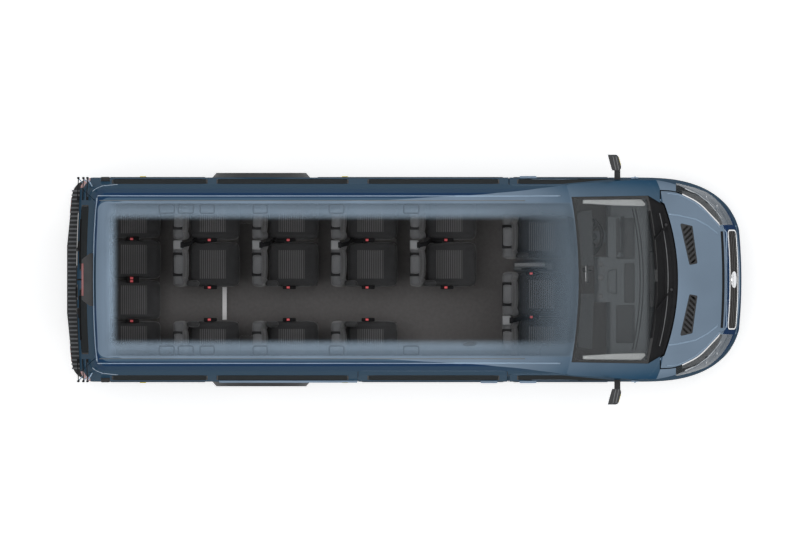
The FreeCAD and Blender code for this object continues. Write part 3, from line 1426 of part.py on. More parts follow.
def front_rim():
    """The left front wheel with its hub and brake disc."""
    face_y = FRONT_WHEEL_Y + WHEEL_OFFSET
    rim = wheel_rim(FRONT_AXLE_X, FRONT_WHEEL_Y, 1, face_y)
    rim = rim.cut(wheel_holes(FRONT_AXLE_X, FRONT_WHEEL_Y, face_y + CUT_OVERRUN))
    bore = SPINDLE_RADIUS + SEAT_GAP
    centre = Vector(FRONT_AXLE_X, 0, TYRE_RADIUS)
    disc_y = BRAKE_DISC_Y - BRAKE_DISC_THICKNESS / 2
    hub = [
        (disc_y, bore),
        (disc_y, BRAKE_DISC_RADIUS),
        (disc_y + BRAKE_DISC_THICKNESS, BRAKE_DISC_RADIUS),
        (disc_y + BRAKE_DISC_THICKNESS, HUB_RADIUS),
        (face_y, HUB_RADIUS),
        (face_y, 0),
        (SPINDLE_END_Y + SEAT_GAP, 0),
        (SPINDLE_END_Y + SEAT_GAP, bore),
    ]
    return fused([rim, revolved(hub, centre)])


def rear_rims():
    """The left pair of rear wheels on one hub, with the brake drum."""
    mid_y = (REAR_OUTER_WHEEL_Y + REAR_INNER_WHEEL_Y) / 2
    inner = wheel_rim(REAR_AXLE_X, REAR_INNER_WHEEL_Y, 1, mid_y)
    outer = wheel_rim(REAR_AXLE_X, REAR_OUTER_WHEEL_Y, -1, mid_y)
    centre = Vector(REAR_AXLE_X, 0, TYRE_RADIUS)
    bore = AXLE_RADIUS + SEAT_GAP
    hub = [
        (DRUM_INNER_Y + SEAT_GAP, bore),
        (DRUM_INNER_Y + SEAT_GAP, DRUM_RADIUS),
        (DRUM_OUTER_Y, DRUM_RADIUS),
        (DRUM_OUTER_Y, HUB_RADIUS),
        (REAR_OUTER_WHEEL_Y, HUB_RADIUS),
        (REAR_OUTER_WHEEL_Y, 0),
        (DRUM_OUTER_Y + SEAT_GAP, 0),
        (DRUM_OUTER_Y + SEAT_GAP, bore),
    ]
    rims = fused([inner, outer, revolved(hub, centre)])
    return rims.cut(wheel_holes(REAR_AXLE_X, REAR_INNER_WHEEL_Y, REAR_OUTER_WHEEL_Y))


def rear_axle():
    """The axle tube with its differential, and the leaf springs."""
    start = Vector(REAR_AXLE_X, -DRUM_OUTER_Y, TYRE_RADIUS)
    tube = rod(start, Vector(REAR_AXLE_X, DRUM_OUTER_Y, TYRE_RADIUS), AXLE_RADIUS)
    diff = rod(
        Vector(REAR_AXLE_X - DIFF_LENGTH / 2, 0, TYRE_RADIUS),
        Vector(REAR_AXLE_X + DIFF_LENGTH / 2, 0, TYRE_RADIUS),
        DIFF_RADIUS,
    )
    springs = []
    for side in (-1, 1):
        y = side * SPRING_Y
        x0 = REAR_AXLE_X - SPRING_HALF_LENGTH
        x1 = REAR_AXLE_X + SPRING_HALF_LENGTH
        top = SPRING_TOP_Z
        bottom = TYRE_RADIUS + AXLE_RADIUS
        upper = Part.Arc(
            Vector(x0, y, top),
            Vector(REAR_AXLE_X, y, bottom + SPRING_THICKNESS),
            Vector(x1, y, top),
        )
        lower = Part.Arc(
            Vector(x1, y, top - SPRING_THICKNESS / 2),
            Vector(REAR_AXLE_X, y, bottom),
            Vector(x0, y, top - SPRING_THICKNESS / 2),
        )
        wire = Part.Wire([
            upper.toShape(),
            Part.LineSegment(Vector(x1, y, top), Vector(x1, y, top - SPRING_THICKNESS / 2)).toShape(),
            lower.toShape(),
            Part.LineSegment(Vector(x0, y, top - SPRING_THICKNESS / 2), Vector(x0, y, top)).toShape(),
        ])
        leaf = Part.Face(wire).extrude(Vector(0, SPRING_WIDTH, 0))
        leaf.translate(Vector(0, -SPRING_WIDTH / 2, 0))
        springs.append(leaf)
        springs.append(
            box(
                REAR_AXLE_X - SPRING_SADDLE_LENGTH / 2,
                REAR_AXLE_X + SPRING_SADDLE_LENGTH / 2,
                y - SPRING_WIDTH / 2,
                y + SPRING_WIDTH / 2,
                TYRE_RADIUS,
                bottom + SPRING_THICKNESS / 2,
            )
        )
    return fused([tube, diff] + springs)


def driveline():
    """Gearbox and propeller shaft."""
    end_x = REAR_AXLE_X + DIFF_LENGTH / 2 + SHAFT_RADIUS / 2
    half = GEARBOX_HALF_WIDTH
    gearbox = box(GEARBOX_REAR_X, ENGINE_REAR_X - SEAT_GAP, -half, half, GEARBOX_BASE_Z, GEARBOX_TOP_Z)
    shaft = rod(Vector(GEARBOX_REAR_X, 0, SHAFT_Z), Vector(end_x, 0, TYRE_RADIUS), SHAFT_RADIUS)
    return fused([gearbox, shaft])


def engine():
    """The engine as one plain block on the frame's rails."""
    half = ENGINE_HALF_WIDTH
    block = box(ENGINE_REAR_X, ENGINE_FRONT_X, -half, half, ENGINE_BASE_Z, ENGINE_TOP_Z)
    mount_x = (ENGINE_REAR_X + ENGINE_FRONT_X) / 2
    mounts = box(
        mount_x - CROSS_LENGTH / 2,
        mount_x + CROSS_LENGTH / 2,
        -RAIL_Y,
        RAIL_Y,
        FRAME_TOP_Z + SEAT_GAP,
        FRAME_TOP_Z + OUTRIGGER_HEIGHT,
    )
    return fused([block, mounts])


def exhaust():
    """The pipe back from the engine, the silencer and the side exit behind the passenger step."""
    z = FRAME_BASE_Z - SEAT_GAP - SILENCER_RADIUS
    start = Vector(ENGINE_REAR_X - SEAT_GAP, PIPE_Y, z)
    rear_x = TAILPIPE_X - PIPE_RADIUS
    middle_x = CROSS_XS[4] + CROSS_LENGTH / 2
    silencer = rod(
        Vector(middle_x - SILENCER_LENGTH / 2, PIPE_Y, z),
        Vector(middle_x + SILENCER_LENGTH / 2, PIPE_Y, z),
        SILENCER_RADIUS,
    )
    return fused([
        rod(start, Vector(rear_x, PIPE_Y, z), PIPE_RADIUS),
        rod(Vector(TAILPIPE_X, PIPE_Y + PIPE_RADIUS, z), Vector(TAILPIPE_X, TAILPIPE_END_Y, z), PIPE_RADIUS),
        silencer,
    ])


def fuel_tank():
    """The fuel tank under the left side of the floor."""
    outline = [
        (TANK_REAR_X, TANK_BASE_Z, TANK_CORNER),
        (TANK_FRONT_X, TANK_BASE_Z, TANK_CORNER),
        (TANK_FRONT_X, FRAME_TOP_Z, 0),
        (TANK_REAR_X, FRAME_TOP_Z, 0),
    ]
    return side_prism(outline, TANK_INNER_Y, TANK_OUTER_Y)


def seat(x, y, floor_z, width):
    """The soft parts and the pan of one seat: (cushion, back, headrest), [pan, headrest stem]."""
    top = floor_z + CUSHION_TOP
    base = top - CUSHION_THICKNESS
    y0 = y - width / 2
    y1 = y + width / 2
    rear = x - CUSHION_DEPTH
    back_x = rear - SEAT_GAP
    cushion = [(rear, base, 0), (x, base, 0), (x, top, 0), (rear, top - CUSHION_DIP, 0)]
    top_rear = x - SEAT_LENGTH
    back = [
        (back_x - BACK_BASE_THICKNESS, base, 0),
        (back_x, base, 0),
        (top_rear + BACK_TOP_THICKNESS, floor_z + BACK_TOP, 0),
        (top_rear, floor_z + BACK_TOP, 0),
    ]
    head_x = top_rear + HEADREST_SETBACK
    head_z = floor_z + BACK_TOP + HEADREST_RISE
    soft = [
        side_prism(cushion, y0, y1),
        side_prism(back, y0, y1),
        box(
            head_x,
            head_x + HEADREST_THICKNESS,
            y - HEADREST_WIDTH / 2,
            y + HEADREST_WIDTH / 2,
            head_z,
            head_z + HEADREST_HEIGHT,
        ),
    ]
    stem_x = head_x + HEADREST_THICKNESS / 2
    stem = box(
        stem_x - HEADREST_STEM_THICKNESS / 2,
        stem_x + HEADREST_STEM_THICKNESS / 2,
        y - HEADREST_STEM_WIDTH / 2,
        y + HEADREST_STEM_WIDTH / 2,
        floor_z + BACK_TOP + SEAT_GAP,
        head_z - SEAT_GAP,
    )
    return soft, stem


def seat_frame(x, y, floor_z, half_width, leg_offsets):
    """The pan under one or more seats, and the legs that stand on the floor."""
    pan_top = floor_z + CUSHION_TOP - CUSHION_THICKNESS - SEAT_GAP
    pan_base = pan_top - SEAT_PAN_THICKNESS
    pieces = [
        box(
            x - CUSHION_DEPTH - BACK_BASE_THICKNESS,
            x - SEAT_PAN_MARGIN,
            y - half_width + SEAT_PAN_MARGIN,
            y + half_width - SEAT_PAN_MARGIN,
            pan_base,
            pan_top,
        )
    ]
    front_x = x - LEG_FRONT_SETBACK
    rear_x = front_x - LEG_SPAN
    z0 = floor_z + SEAT_GAP
    for offset in leg_offsets:
        y0 = y + offset - LEG_WIDTH / 2
        y1 = y + offset + LEG_WIDTH / 2
        pieces.append(box(rear_x, front_x, y0, y1, z0, z0 + LEG_RAIL_HEIGHT))
        for post_x in (rear_x, front_x - LEG_WIDTH):
            pieces.append(box(post_x, post_x + LEG_WIDTH, y0, y1, z0, pan_top))
    return fused(pieces)


def build_seats():
    """Front seats, passenger seats and the frames that carry them."""
    front = []
    rows = []
    frames = []

    def add(group, x, y, floor_z, count, pitch, width, legs):
        for i in range(count):
            soft, stem = seat(x, y + (i - (count - 1) / 2) * pitch, floor_z, width)
            group.extend(soft)
            frames.append(stem)
        frames.append(seat_frame(x, y, floor_z, ((count - 1) * pitch + width) / 2, legs))

    add(front, FRONT_SEAT_X, DRIVER_Y, FLOOR_TOP_Z, 1, SEAT_PITCH, SEAT_WIDTH, DOUBLE_LEG_OFFSETS)
    add(front, FRONT_SEAT_X, FRONT_DOUBLE_Y, FLOOR_TOP_Z, 2, SEAT_PITCH, SEAT_WIDTH, DOUBLE_LEG_OFFSETS)
    for row in range(LEFT_ROWS):
        x = FIRST_ROW_X + row * ROW_PITCH
        floor_z = REAR_FLOOR_TOP_Z if row == 0 else FLOOR_TOP_Z
        add(rows, x, LEFT_DOUBLE_Y, floor_z, 2, SEAT_PITCH, SEAT_WIDTH, DOUBLE_LEG_OFFSETS)
        if row < RIGHT_ROWS:
            add(rows, x, RIGHT_SINGLE_Y, floor_z, 1, SEAT_PITCH, SEAT_WIDTH, SINGLE_LEG_OFFSETS)
    add(
        rows,
        REAR_ROW_X,
        0,
        REAR_FLOOR_TOP_Z,
        REAR_ROW_SEATS,
        REAR_SEAT_PITCH,
        REAR_SEAT_WIDTH,
        REAR_LEG_OFFSETS,
    )
    return {
        "front_seats": Part.makeCompound(front),
        "passenger_seats": Part.makeCompound(rows),
        "seat_frames": Part.makeCompound(frames),
    }


def steering_axis():
    """Unit vector from the dashboard up to the driver along the steering column."""
    angle = math.radians(STEERING_TILT)
    return Vector(-math.sin(angle), 0, math.cos(angle))


def dashboard():
    """The dashboard with its instrument hood, centre stack and steering column."""
    outline = [
        (DASH_FRONT_X, DASH_BASE_Z, 0),
        (DASH_FRONT_X, DASH_TOP_Z, DASH_CORNER),
        (DASH_REAR_X + DASH_CORNER, DASH_TOP_Z, DASH_CORNER),
        (DASH_REAR_X, DASH_TOP_Z - DASH_FACE_DROP, DASH_CORNER),
        (DASH_REAR_X + DASH_FACE_RAKE, DASH_BASE_Z, DASH_CORNER),
    ]
    body = side_prism(outline, -DASH_HALF_WIDTH, DASH_HALF_WIDTH)
    stack = [
        (DASH_REAR_X + DASH_FACE_RAKE, STACK_BASE_Z, 0),
        (DASH_REAR_X + DASH_FACE_RAKE * 2, DASH_TOP_Z, 0),
        (STACK_REAR_X + DASH_CORNER, DASH_TOP_Z, DASH_CORNER),
        (STACK_REAR_X, DASH_TOP_Z - DASH_FACE_DROP, DASH_CORNER),
        (DASH_REAR_X - DASH_FACE_RAKE / 2, STACK_BASE_Z, 0),
    ]
    hood = [
        (DASH_REAR_X, DASH_TOP_Z - DASH_CORNER, 0),
        (DASH_REAR_X + BINNACLE_LENGTH, DASH_TOP_Z - DASH_CORNER, 0),
        (DASH_REAR_X + BINNACLE_LENGTH * 2 / 3, DASH_TOP_Z + BINNACLE_HEIGHT, BINNACLE_HEIGHT / 2),
        (DASH_REAR_X + DASH_CORNER / 2, DASH_TOP_Z + BINNACLE_HEIGHT, 0),
    ]
    wheel = Vector(STEERING_X, DRIVER_Y, STEERING_Z)
    axis = steering_axis()
    column_top = wheel - axis * (STEERING_HUB_LENGTH / 2 + SEAT_GAP)
    column_end = column_top - axis * COLUMN_LENGTH
    shroud_top = column_top - axis * SHROUD_START
    shroud_end = column_top - axis * SHROUD_END
    shroud = [
        (shroud_top.x, shroud_top.z, 0),
        (DASH_REAR_X + DASH_FACE_RAKE * 2, DASH_TOP_Z - DASH_FACE_DROP, 0),
        (DASH_REAR_X + DASH_FACE_RAKE * 2, shroud_end.z, 0),
        (shroud_end.x, shroud_end.z, 0),
    ]
    pieces = [
        body,
        side_prism(stack, -STACK_HALF_WIDTH, STACK_HALF_WIDTH),
        side_prism(hood, DRIVER_Y - BINNACLE_HALF_WIDTH, DRIVER_Y + BINNACLE_HALF_WIDTH),
        side_prism(shroud, DRIVER_Y - SHROUD_HALF_WIDTH, DRIVER_Y + SHROUD_HALF_WIDTH),
        rod(column_top, column_end, COLUMN_RADIUS),
    ]
    ahead = box(BULKHEAD_X - SEAT_GAP, LENGTH, -LENGTH, LENGTH, 0, BULKHEAD_TOP_Z + SEAT_GAP)
    return fused(pieces).common(cavity(WALL + DOOR_CLEARANCE)).cut(ahead)


def steering_wheel():
    """The steering wheel: rim, hub and four spokes, square to its column."""
    rim = Part.makeCylinder(
        STEERING_RADIUS + STEERING_GRIP, STEERING_GRIP * 2, Vector(0, 0, -STEERING_GRIP)
    ).cut(Part.makeCylinder(STEERING_RADIUS - STEERING_GRIP, HEIGHT, Vector(0, 0, -HEIGHT / 2)))
    hub = Part.makeCylinder(STEERING_HUB_RADIUS, STEERING_HUB_LENGTH, Vector(0, 0, -STEERING_HUB_LENGTH / 2))
    spokes = []
    for i in range(SPOKES):
        spoke = box(
            0,
            STEERING_RADIUS,
            -SPOKE_WIDTH / 2,
            SPOKE_WIDTH / 2,
            -SPOKE_THICKNESS / 2,
            SPOKE_THICKNESS / 2,
        )
        spoke.rotate(Vector(0, 0, 0), Vector(0, 0, 1), 360 * i / SPOKES + SPOKE_TURN)
        spokes.append(spoke)
    wheel = fused([hub, rim] + spokes)
    wheel.rotate(Vector(0, 0, 0), Vector(0, 1, 0), -STEERING_TILT)
    wheel.translate(Vector(STEERING_X, DRIVER_Y, STEERING_Z))
    return wheel


def build_running_gear():
    """Frame, axles, wheels and what drives them."""
    nodes = {
        "underframe": underframe(),
        "front_subframe": front_subframe(),
        "wheel_liners": both_sides(wheel_liner()),
        "rear_axle": rear_axle(),
        "driveline": driveline(),
        "engine": engine(),
        "exhaust": exhaust(),
        "fuel_tank": fuel_tank(),
    }
    left = {
        "knuckle": knuckle(),
        "rim_front": front_rim(),
        "tyre_front": tyre(FRONT_AXLE_X, FRONT_WHEEL_Y),
        "rim_rear": rear_rims(),
        "tyre_rear": Part.makeCompound(
            [tyre(REAR_AXLE_X, y) for y in (REAR_INNER_WHEEL_Y, REAR_OUTER_WHEEL_Y)]
        ),
    }
    for name, shape in left.items():
        nodes[name + "_left"] = shape
        nodes[name + "_right"] = mirrored(shape)
    return nodes


def build_interior():
    """Floor, seats, dashboard and steering wheel."""
    nodes = {
        "floor": floor(),
        "rear_floor": floor_plate(FLOOR_REAR_X, FLOOR_STEP_X, REAR_FLOOR_TOP_Z),
        "wheel_boxes": wheel_boxes(),
        "entrance_step": entrance_step(),
        "step_strip": step_strip(),
        "dashboard": dashboard(),
        "steering_wheel": steering_wheel(),
    }
    nodes.update(build_seats())
    return nodes


def build():
    """All nodes by name."""
    nodes = build_body()
    nodes.update(build_trim())
    nodes["mirror_left"] = mirror_housing().cut(hull(-SEAT_GAP))
    nodes["mirror_right"] = mirrored(nodes["mirror_left"])
    nodes.update(build_running_gear())
    nodes.update(build_interior())
    return nodes


def main():
    """Write one file for each node."""
    os.makedirs("parts", exist_ok=True)
    for name, shape in build().items():
        shape.exportStep("parts/" + name + ".step")


if __name__ == "__main__":
    main()
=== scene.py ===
"""The minibus seen straight from above, with its roof fading to clear over the seats.

Metres; +X forward, +Y to the vehicle's left, +Z up, as in the CAD frame.
"""

import math

import bmesh
import bpy
from mathutils import Matrix, Vector
from mathutils.bvhtree import BVHTree


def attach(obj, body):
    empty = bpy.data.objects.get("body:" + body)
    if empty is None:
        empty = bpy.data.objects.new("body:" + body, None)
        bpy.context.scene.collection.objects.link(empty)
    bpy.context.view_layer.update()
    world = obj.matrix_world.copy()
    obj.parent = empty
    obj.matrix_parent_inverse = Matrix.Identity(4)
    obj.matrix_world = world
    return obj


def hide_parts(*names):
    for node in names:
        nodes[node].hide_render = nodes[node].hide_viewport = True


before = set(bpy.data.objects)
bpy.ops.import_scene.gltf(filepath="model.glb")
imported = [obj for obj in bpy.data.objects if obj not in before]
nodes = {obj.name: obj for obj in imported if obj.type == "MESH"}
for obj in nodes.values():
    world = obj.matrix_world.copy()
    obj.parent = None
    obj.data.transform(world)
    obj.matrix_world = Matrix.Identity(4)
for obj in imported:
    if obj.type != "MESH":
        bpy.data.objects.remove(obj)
for name in ("Cube", "Light", "Camera"):
    if name in bpy.data.objects:
        bpy.data.objects.remove(bpy.data.objects[name])
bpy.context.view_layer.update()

# The photograph's scale and where its middle lies on the vehicle
METRES_PER_PIXEL = 0.00994
IMAGE_WIDTH = 810
IMAGE_HEIGHT = 540
VIEW_X = 0.0075
VIEW_Y = 0.0955
CAMERA_Z = 12.0

# Body names
BODY = "vehicle_body"
LEFT_DOOR = "left_front_door"
RIGHT_DOOR = "right_front_door"
LEFT_REAR = "left_rear_door"
RIGHT_REAR = "right_rear_door"
BONNET = "bonnet_panel"
SIDES = (("left", 1), ("right", -1))
DOORS = {"left": LEFT_DOOR, "right": RIGHT_DOOR}
REAR_DOORS = {"left": LEFT_REAR, "right": RIGHT_REAR}

# Material, body and slot of pieces that repeat
BLACK_TRIM = ("black", BODY, "black_trim")
SEAL_TRIM = ("seal", BODY, "black_trim")
GREY_PLASTIC = ("grey_plastic", BODY, "dash_plastic")
DARK_PLASTIC = ("dash_dark", BODY, "dash_plastic")
# Lighter blue ribbons on the roof and bonnet: painted highlights
ROOF_HIGHLIGHT = ("blue_painted_highlight", BODY, "roof_paint")
BONNET_HIGHLIGHT = ("blue_painted_highlight", BONNET, "blue_paint")
BRIGHT_LINE = ("bright_dull", BODY, "wheel_silver")
CHROME = ("chrome", BODY, "wheel_silver")

# Colours, linear
BLUE = (0.156, 0.209, 0.273)
# Painted shade: the dark blue the paint turns to where a panel is seen edge on; the lamp covers take it there too, as a
# painted reflection of the paint
PAINTED_EDGE_SHADE_BLUE = (0.030, 0.070, 0.114)
BLUE_EDGE = (0.10, 0.20, 0.33)
HAZE_BLUE = (0.125, 0.160, 0.195)
LINING = (0.30, 0.31, 0.32)
BLACK = (0.020, 0.020, 0.021)
GREY_BLACK = (0.045, 0.046, 0.048)
SEAT_DARK = (0.026, 0.026, 0.027)
SEAT_GREY = (0.044, 0.044, 0.046)
SEAT_STRIPE = (0.135, 0.130, 0.132)
LAMP_TINT = (0.028, 0.033, 0.036)
SCREEN_TINT = (0.095, 0.105, 0.112)
SCREEN_BORDER = (0.018, 0.019, 0.020)
PAINT_METALLIC = 0.80

# Fittings: the rear doors' hinge line, the wipers, the rubbing strips' height and the nose lines' step
HINGE_Y = 0.908
WIPERS = {
    "left": ([(2.495, 0.10), (2.472, 0.40), (2.430, 0.68)], [(2.600, 0.545), (2.545, 0.48), (2.474, 0.40)]),
    "right": ([(2.500, -0.02), (2.488, -0.32), (2.452, -0.58)], [(2.655, -0.10), (2.58, -0.19), (2.491, -0.30)]),
}
RUB_STRIP_Z = 0.78
LINE_STEP = 0.06

# The windscreen's clear middle: its edges at the roof and cowl, how far they fall back, and half its width
SCREEN_TOP_X = 1.733
SCREEN_TOP_BOW = 0.105
SCREEN_BASE_X = 2.520
SCREEN_BASE_BOW = 0.136
SCREEN_HALF = 0.830

# Where the roof fades to clear: X and Y of full clear, the widths of the fades, and the haze left in it
CLEAR_REAR = -2.83
CLEAR_FRONT = 1.05
CLEAR_SIDE = 0.580
FADE_REAR = 0.17
FADE_FRONT = 1.10
FADE_SIDE = 0.095
HAZE = 0.42
HAZE_SIDE = 0.765

# Seats, as in the part's source
SEAT_WIDTH = 0.451
SEAT_PITCH = 0.463
REAR_SEAT_WIDTH = 0.396
REAR_SEAT_PITCH = 0.404
CUSHION_DEPTH = 0.500
CUSHION_TOP = 0.450
CUSHION_DIP = 0.030
CUSHION_THICKNESS = 0.120
SEAT_LENGTH = 0.676
BACK_TOP = 0.985
BACK_BASE_THICKNESS = 0.105
BACK_TOP_THICKNESS = 0.125
HEADREST_WIDTH = 0.200
HEADREST_HEIGHT = 0.150
HEADREST_THICKNESS = 0.100
HEADREST_SETBACK = 0.018
HEADREST_RISE = 0.034
ROW_PITCH = 0.784
FIRST_ROW_X = -1.632
LEFT_ROWS = 4
RIGHT_ROWS = 3
LEFT_DOUBLE_Y = 0.383
RIGHT_SINGLE_Y = -0.632
REAR_ROW_X = -2.416
FRONT_SEAT_X = 1.640
DRIVER_Y = 0.427
FRONT_DOUBLE_Y = -0.376
FLOOR_Z = 0.690
REAR_FLOOR_Z = 0.770
BUCKLE_RISE = 0.478

# Seat covers: seams, swell under pressure and its cap
PANEL_HALF = 0.144
FRONT_SEAM = 0.111
REAR_SEAM = -0.148
PAD_STEP = 0.024
SEAM_DEPTH = 0.006
SWELL_CAP = 0.011
PRESSURE = 4.0
CLOTH_FRAMES = 20

# Wheels
FRONT_AXLE_X = 2.329
REAR_AXLE_X = -1.421
TYRE_RADIUS = 0.349
TYRE_HALF = 0.0975
TREAD_BLOCKS = 44
RIB_EDGE = 0.0385
LUG_EDGE = 0.056
SHOULDER_Y = 0.075
SHOULDER_RADIUS = 0.338
CROWN_RADIUS = 0.345
GAP_DEPTH = 0.006
SLIT_DEPTH = 0.003
WHEELS = (
    ("front", FRONT_AXLE_X, (0.866,), "front_wheel", 0.072),
    ("rear", REAR_AXLE_X, (0.708, 0.946), "rear_wheels", 0.080),
)


def collection_add(obj):
    bpy.context.scene.collection.objects.link(obj)
    return obj


def set_up_camera():
    """Orthographic, straight down, with the vehicle's front to the right."""
    data = bpy.data.cameras.new("camera")
    data.type = "ORTHO"
    data.ortho_scale = IMAGE_WIDTH * METRES_PER_PIXEL
    data.clip_end = 100.0
    camera = collection_add(bpy.data.objects.new("camera", data))
    camera.location = (VIEW_X, VIEW_Y, CAMERA_Z)
    scene = bpy.context.scene
    scene.camera = camera
    scene.render.resolution_x = IMAGE_WIDTH
    scene.render.resolution_y = IMAGE_HEIGHT
    scene.view_settings.view_transform = "Standard"


def area_light(name, place, target, size, power):
    data = bpy.data.lights.new(name, "AREA")
    data.shape = "RECTANGLE"
    data.size, data.size_y = size
    data.energy = power
    light = collection_add(bpy.data.objects.new(name, data))
    light.location = place
    aim = Vector(target) - Vector(place)
    light.rotation_euler = aim.to_track_quat("-Z", "Y").to_euler()
    return light


def seen_directly(tree):
    """1 for camera, glossy and transmission rays, and 0 for the rays that light the object."""
    path = tree.nodes.new("ShaderNodeLightPath")
    total = path.outputs["Is Camera Ray"]
    for ray in ("Is Glossy Ray", "Is Transmission Ray"):
        larger = tree.nodes.new("ShaderNodeMath")
        larger.operation = "MAXIMUM"
        tree.links.new(total, larger.inputs[0])
        tree.links.new(path.outputs[ray], larger.inputs[1])
        total = larger.outputs[0]
    return total


def set_up_lights():
    world = bpy.data.worlds.new("sky")
    bpy.context.scene.world = world
    world.use_nodes = True
    tree = world.node_tree
    light = tree.nodes["Background"]
    ramp = tree.nodes.new("ShaderNodeValToRGB")
    coord = tree.nodes.new("ShaderNodeTexCoord")
    split = tree.nodes.new("ShaderNodeSeparateXYZ")
    tree.links.new(coord.outputs["Generated"], split.inputs[0])
    tree.links.new(split.outputs["Z"], ramp.inputs[0])
    tree.links.new(ramp.outputs[0], light.inputs["Color"])
    ramp.color_ramp.elements[0].color = (0.40, 0.41, 0.42, 1)
    ramp.color_ramp.elements[1].color = (0.66, 0.67, 0.68, 1)
    white = tree.nodes.new("ShaderNodeBackground")
    white.inputs["Color"].default_value = (1, 1, 1, 1)
    mix = tree.nodes.new("ShaderNodeMixShader")
    tree.links.new(seen_directly(tree), mix.inputs[0])
    tree.links.new(light.outputs[0], mix.inputs[1])
    tree.links.new(white.outputs[0], mix.inputs[2])
    tree.links.new(mix.outputs[0], tree.nodes["World Output"].inputs["Surface"])
    area_light("overhead", (0.0, 0.0, 7.0), (0, 0, 0), (9.0, 3.0), 185.0)
    area_light("left_side", (0.0, 6.0, 4.5), (0, 0, 1.0), (8.0, 1.5), 70.0)
    area_light("right_side", (0.0, -6.0, 4.5), (0, 0, 1.0), (8.0, 1.5), 70.0)


class Shader:
    """A node material built from a principled shader, with helpers for procedural colour and bump."""

    def __init__(self, name):
        self.material = bpy.data.materials.new(name)
        self.material.use_nodes = True
        self.tree = self.material.node_tree
        self.surface = self.tree.nodes["Principled BSDF"]
        self.coord = self.node("ShaderNodeTexCoord")

    def node(self, kind, **settings):
        made = self.tree.nodes.new(kind)
        for key, value in settings.items():
            setattr(made, key, value)
        return made

    def link(self, output, target):
        self.tree.links.new(output, target)

    def set(self, **values):
        for key, value in values.items():
            self.surface.inputs[key.replace("_", " ")].default_value = value
        return self

    def noise(self, scale, detail=3.0, stretch=(1, 1, 1)):
        mapping = self.node("ShaderNodeMapping")
        mapping.inputs["Scale"].default_value = stretch
        self.link(self.coord.outputs["Object"], mapping.inputs["Vector"])
        noise = self.node("ShaderNodeTexNoise")
        noise.inputs["Scale"].default_value = scale
        noise.inputs["Detail"].default_value = detail
        self.link(mapping.outputs[0], noise.inputs["Vector"])
        return noise.outputs["Fac"]

    def ramp(self, factor, colours, positions=None):
        ramp = self.node("ShaderNodeValToRGB")
        elements = ramp.color_ramp.elements
        count = len(colours)
        positions = positions or [i / (count - 1) for i in range(count)]
        while len(elements) < count:
            elements.new(0.5)
        for element, place, colour in zip(elements, positions, colours):
            element.position = place
            element.color = (*colour[:3], 1)
        self.link(factor, ramp.inputs[0])
        return ramp.outputs[0]

    def blend(self, factor, a, b):
        """Colour a, turning into colour b where the factor is 1."""
        mix = self.node("ShaderNodeMix", data_type="RGBA")
        self.link(factor, mix.inputs["Factor"])
        for colour, target in ((a, mix.inputs[6]), (b, mix.inputs[7])):
            if isinstance(colour, tuple):
                target.default_value = (*colour, 1)
            else:
                self.link(colour, target)
        return mix.outputs[2]

    def colour(self, output):
        self.link(output, self.surface.inputs["Base Color"])
        return self

    def bump(self, height, strength, distance=0.002):
        bump = self.node("ShaderNodeBump")
        bump.inputs["Strength"].default_value = strength
        bump.inputs["Distance"].default_value = distance
        self.link(height, bump.inputs["Height"])
        self.link(bump.outputs[0], self.surface.inputs["Normal"])
        return self

    def math(self, operation, a, b=None):
        made = self.node("ShaderNodeMath", operation=operation)
        for i, value in enumerate((a, b)):
            if value is None:
                continue
            if isinstance(value, (int, float)):
                made.inputs[i].default_value = value
            else:
                self.link(value, made.inputs[i])
        return made.outputs[0]

    def spread(self, value, low, high, out_low=0.0, out_high=1.0):
        made = self.node("ShaderNodeMapRange", interpolation_type="SMOOTHSTEP")
        for key, number in (("From Min", low), ("From Max", high), ("To Min", out_low), ("To Max", out_high)):
            made.inputs[key].default_value = number
        self.link(value, made.inputs["Value"])
        return made.outputs[0]

    def axes(self, output="Object"):
        split = self.node("ShaderNodeSeparateXYZ")
        self.link(self.coord.outputs[output], split.inputs[0])
        return split.outputs["X"], split.outputs["Y"], split.outputs["Z"]

    def facing(self):
        """0 where the surface faces the viewer and 1 where it is seen edge on."""
        weight = self.node("ShaderNodeLayerWeight")
        weight.inputs["Blend"].default_value = 0.5
        return weight.outputs["Facing"]

    def facing_in(self, axis):
        """1 where a panel faces into the cabin: inwards for y, forwards for x, downwards for z."""
        normal = dict(zip("xyz", self.axes("Normal")))[axis]
        if axis == "x":
            return self.spread(normal, 0.35, 0.5)
        if axis == "y":
            normal = self.math("MULTIPLY", normal, self.math("SIGN", self.axes()[1]))
        return self.spread(normal, -0.4, -0.25, 1.0, 0.0)


def varied(name, dark, light, scale, rough, bump_scale=None, bump=0.0, distance=0.001, **values):
    """A material whose colour wanders between two shades, with optional fine bump."""
    shader = Shader(name)
    shader.colour(shader.ramp(shader.noise(scale), [dark, light]))
    shader.set(Roughness=rough, **values)
    if bump_scale:
        shader.bump(shader.noise(bump_scale, 2.0), bump, distance)
    return shader.material


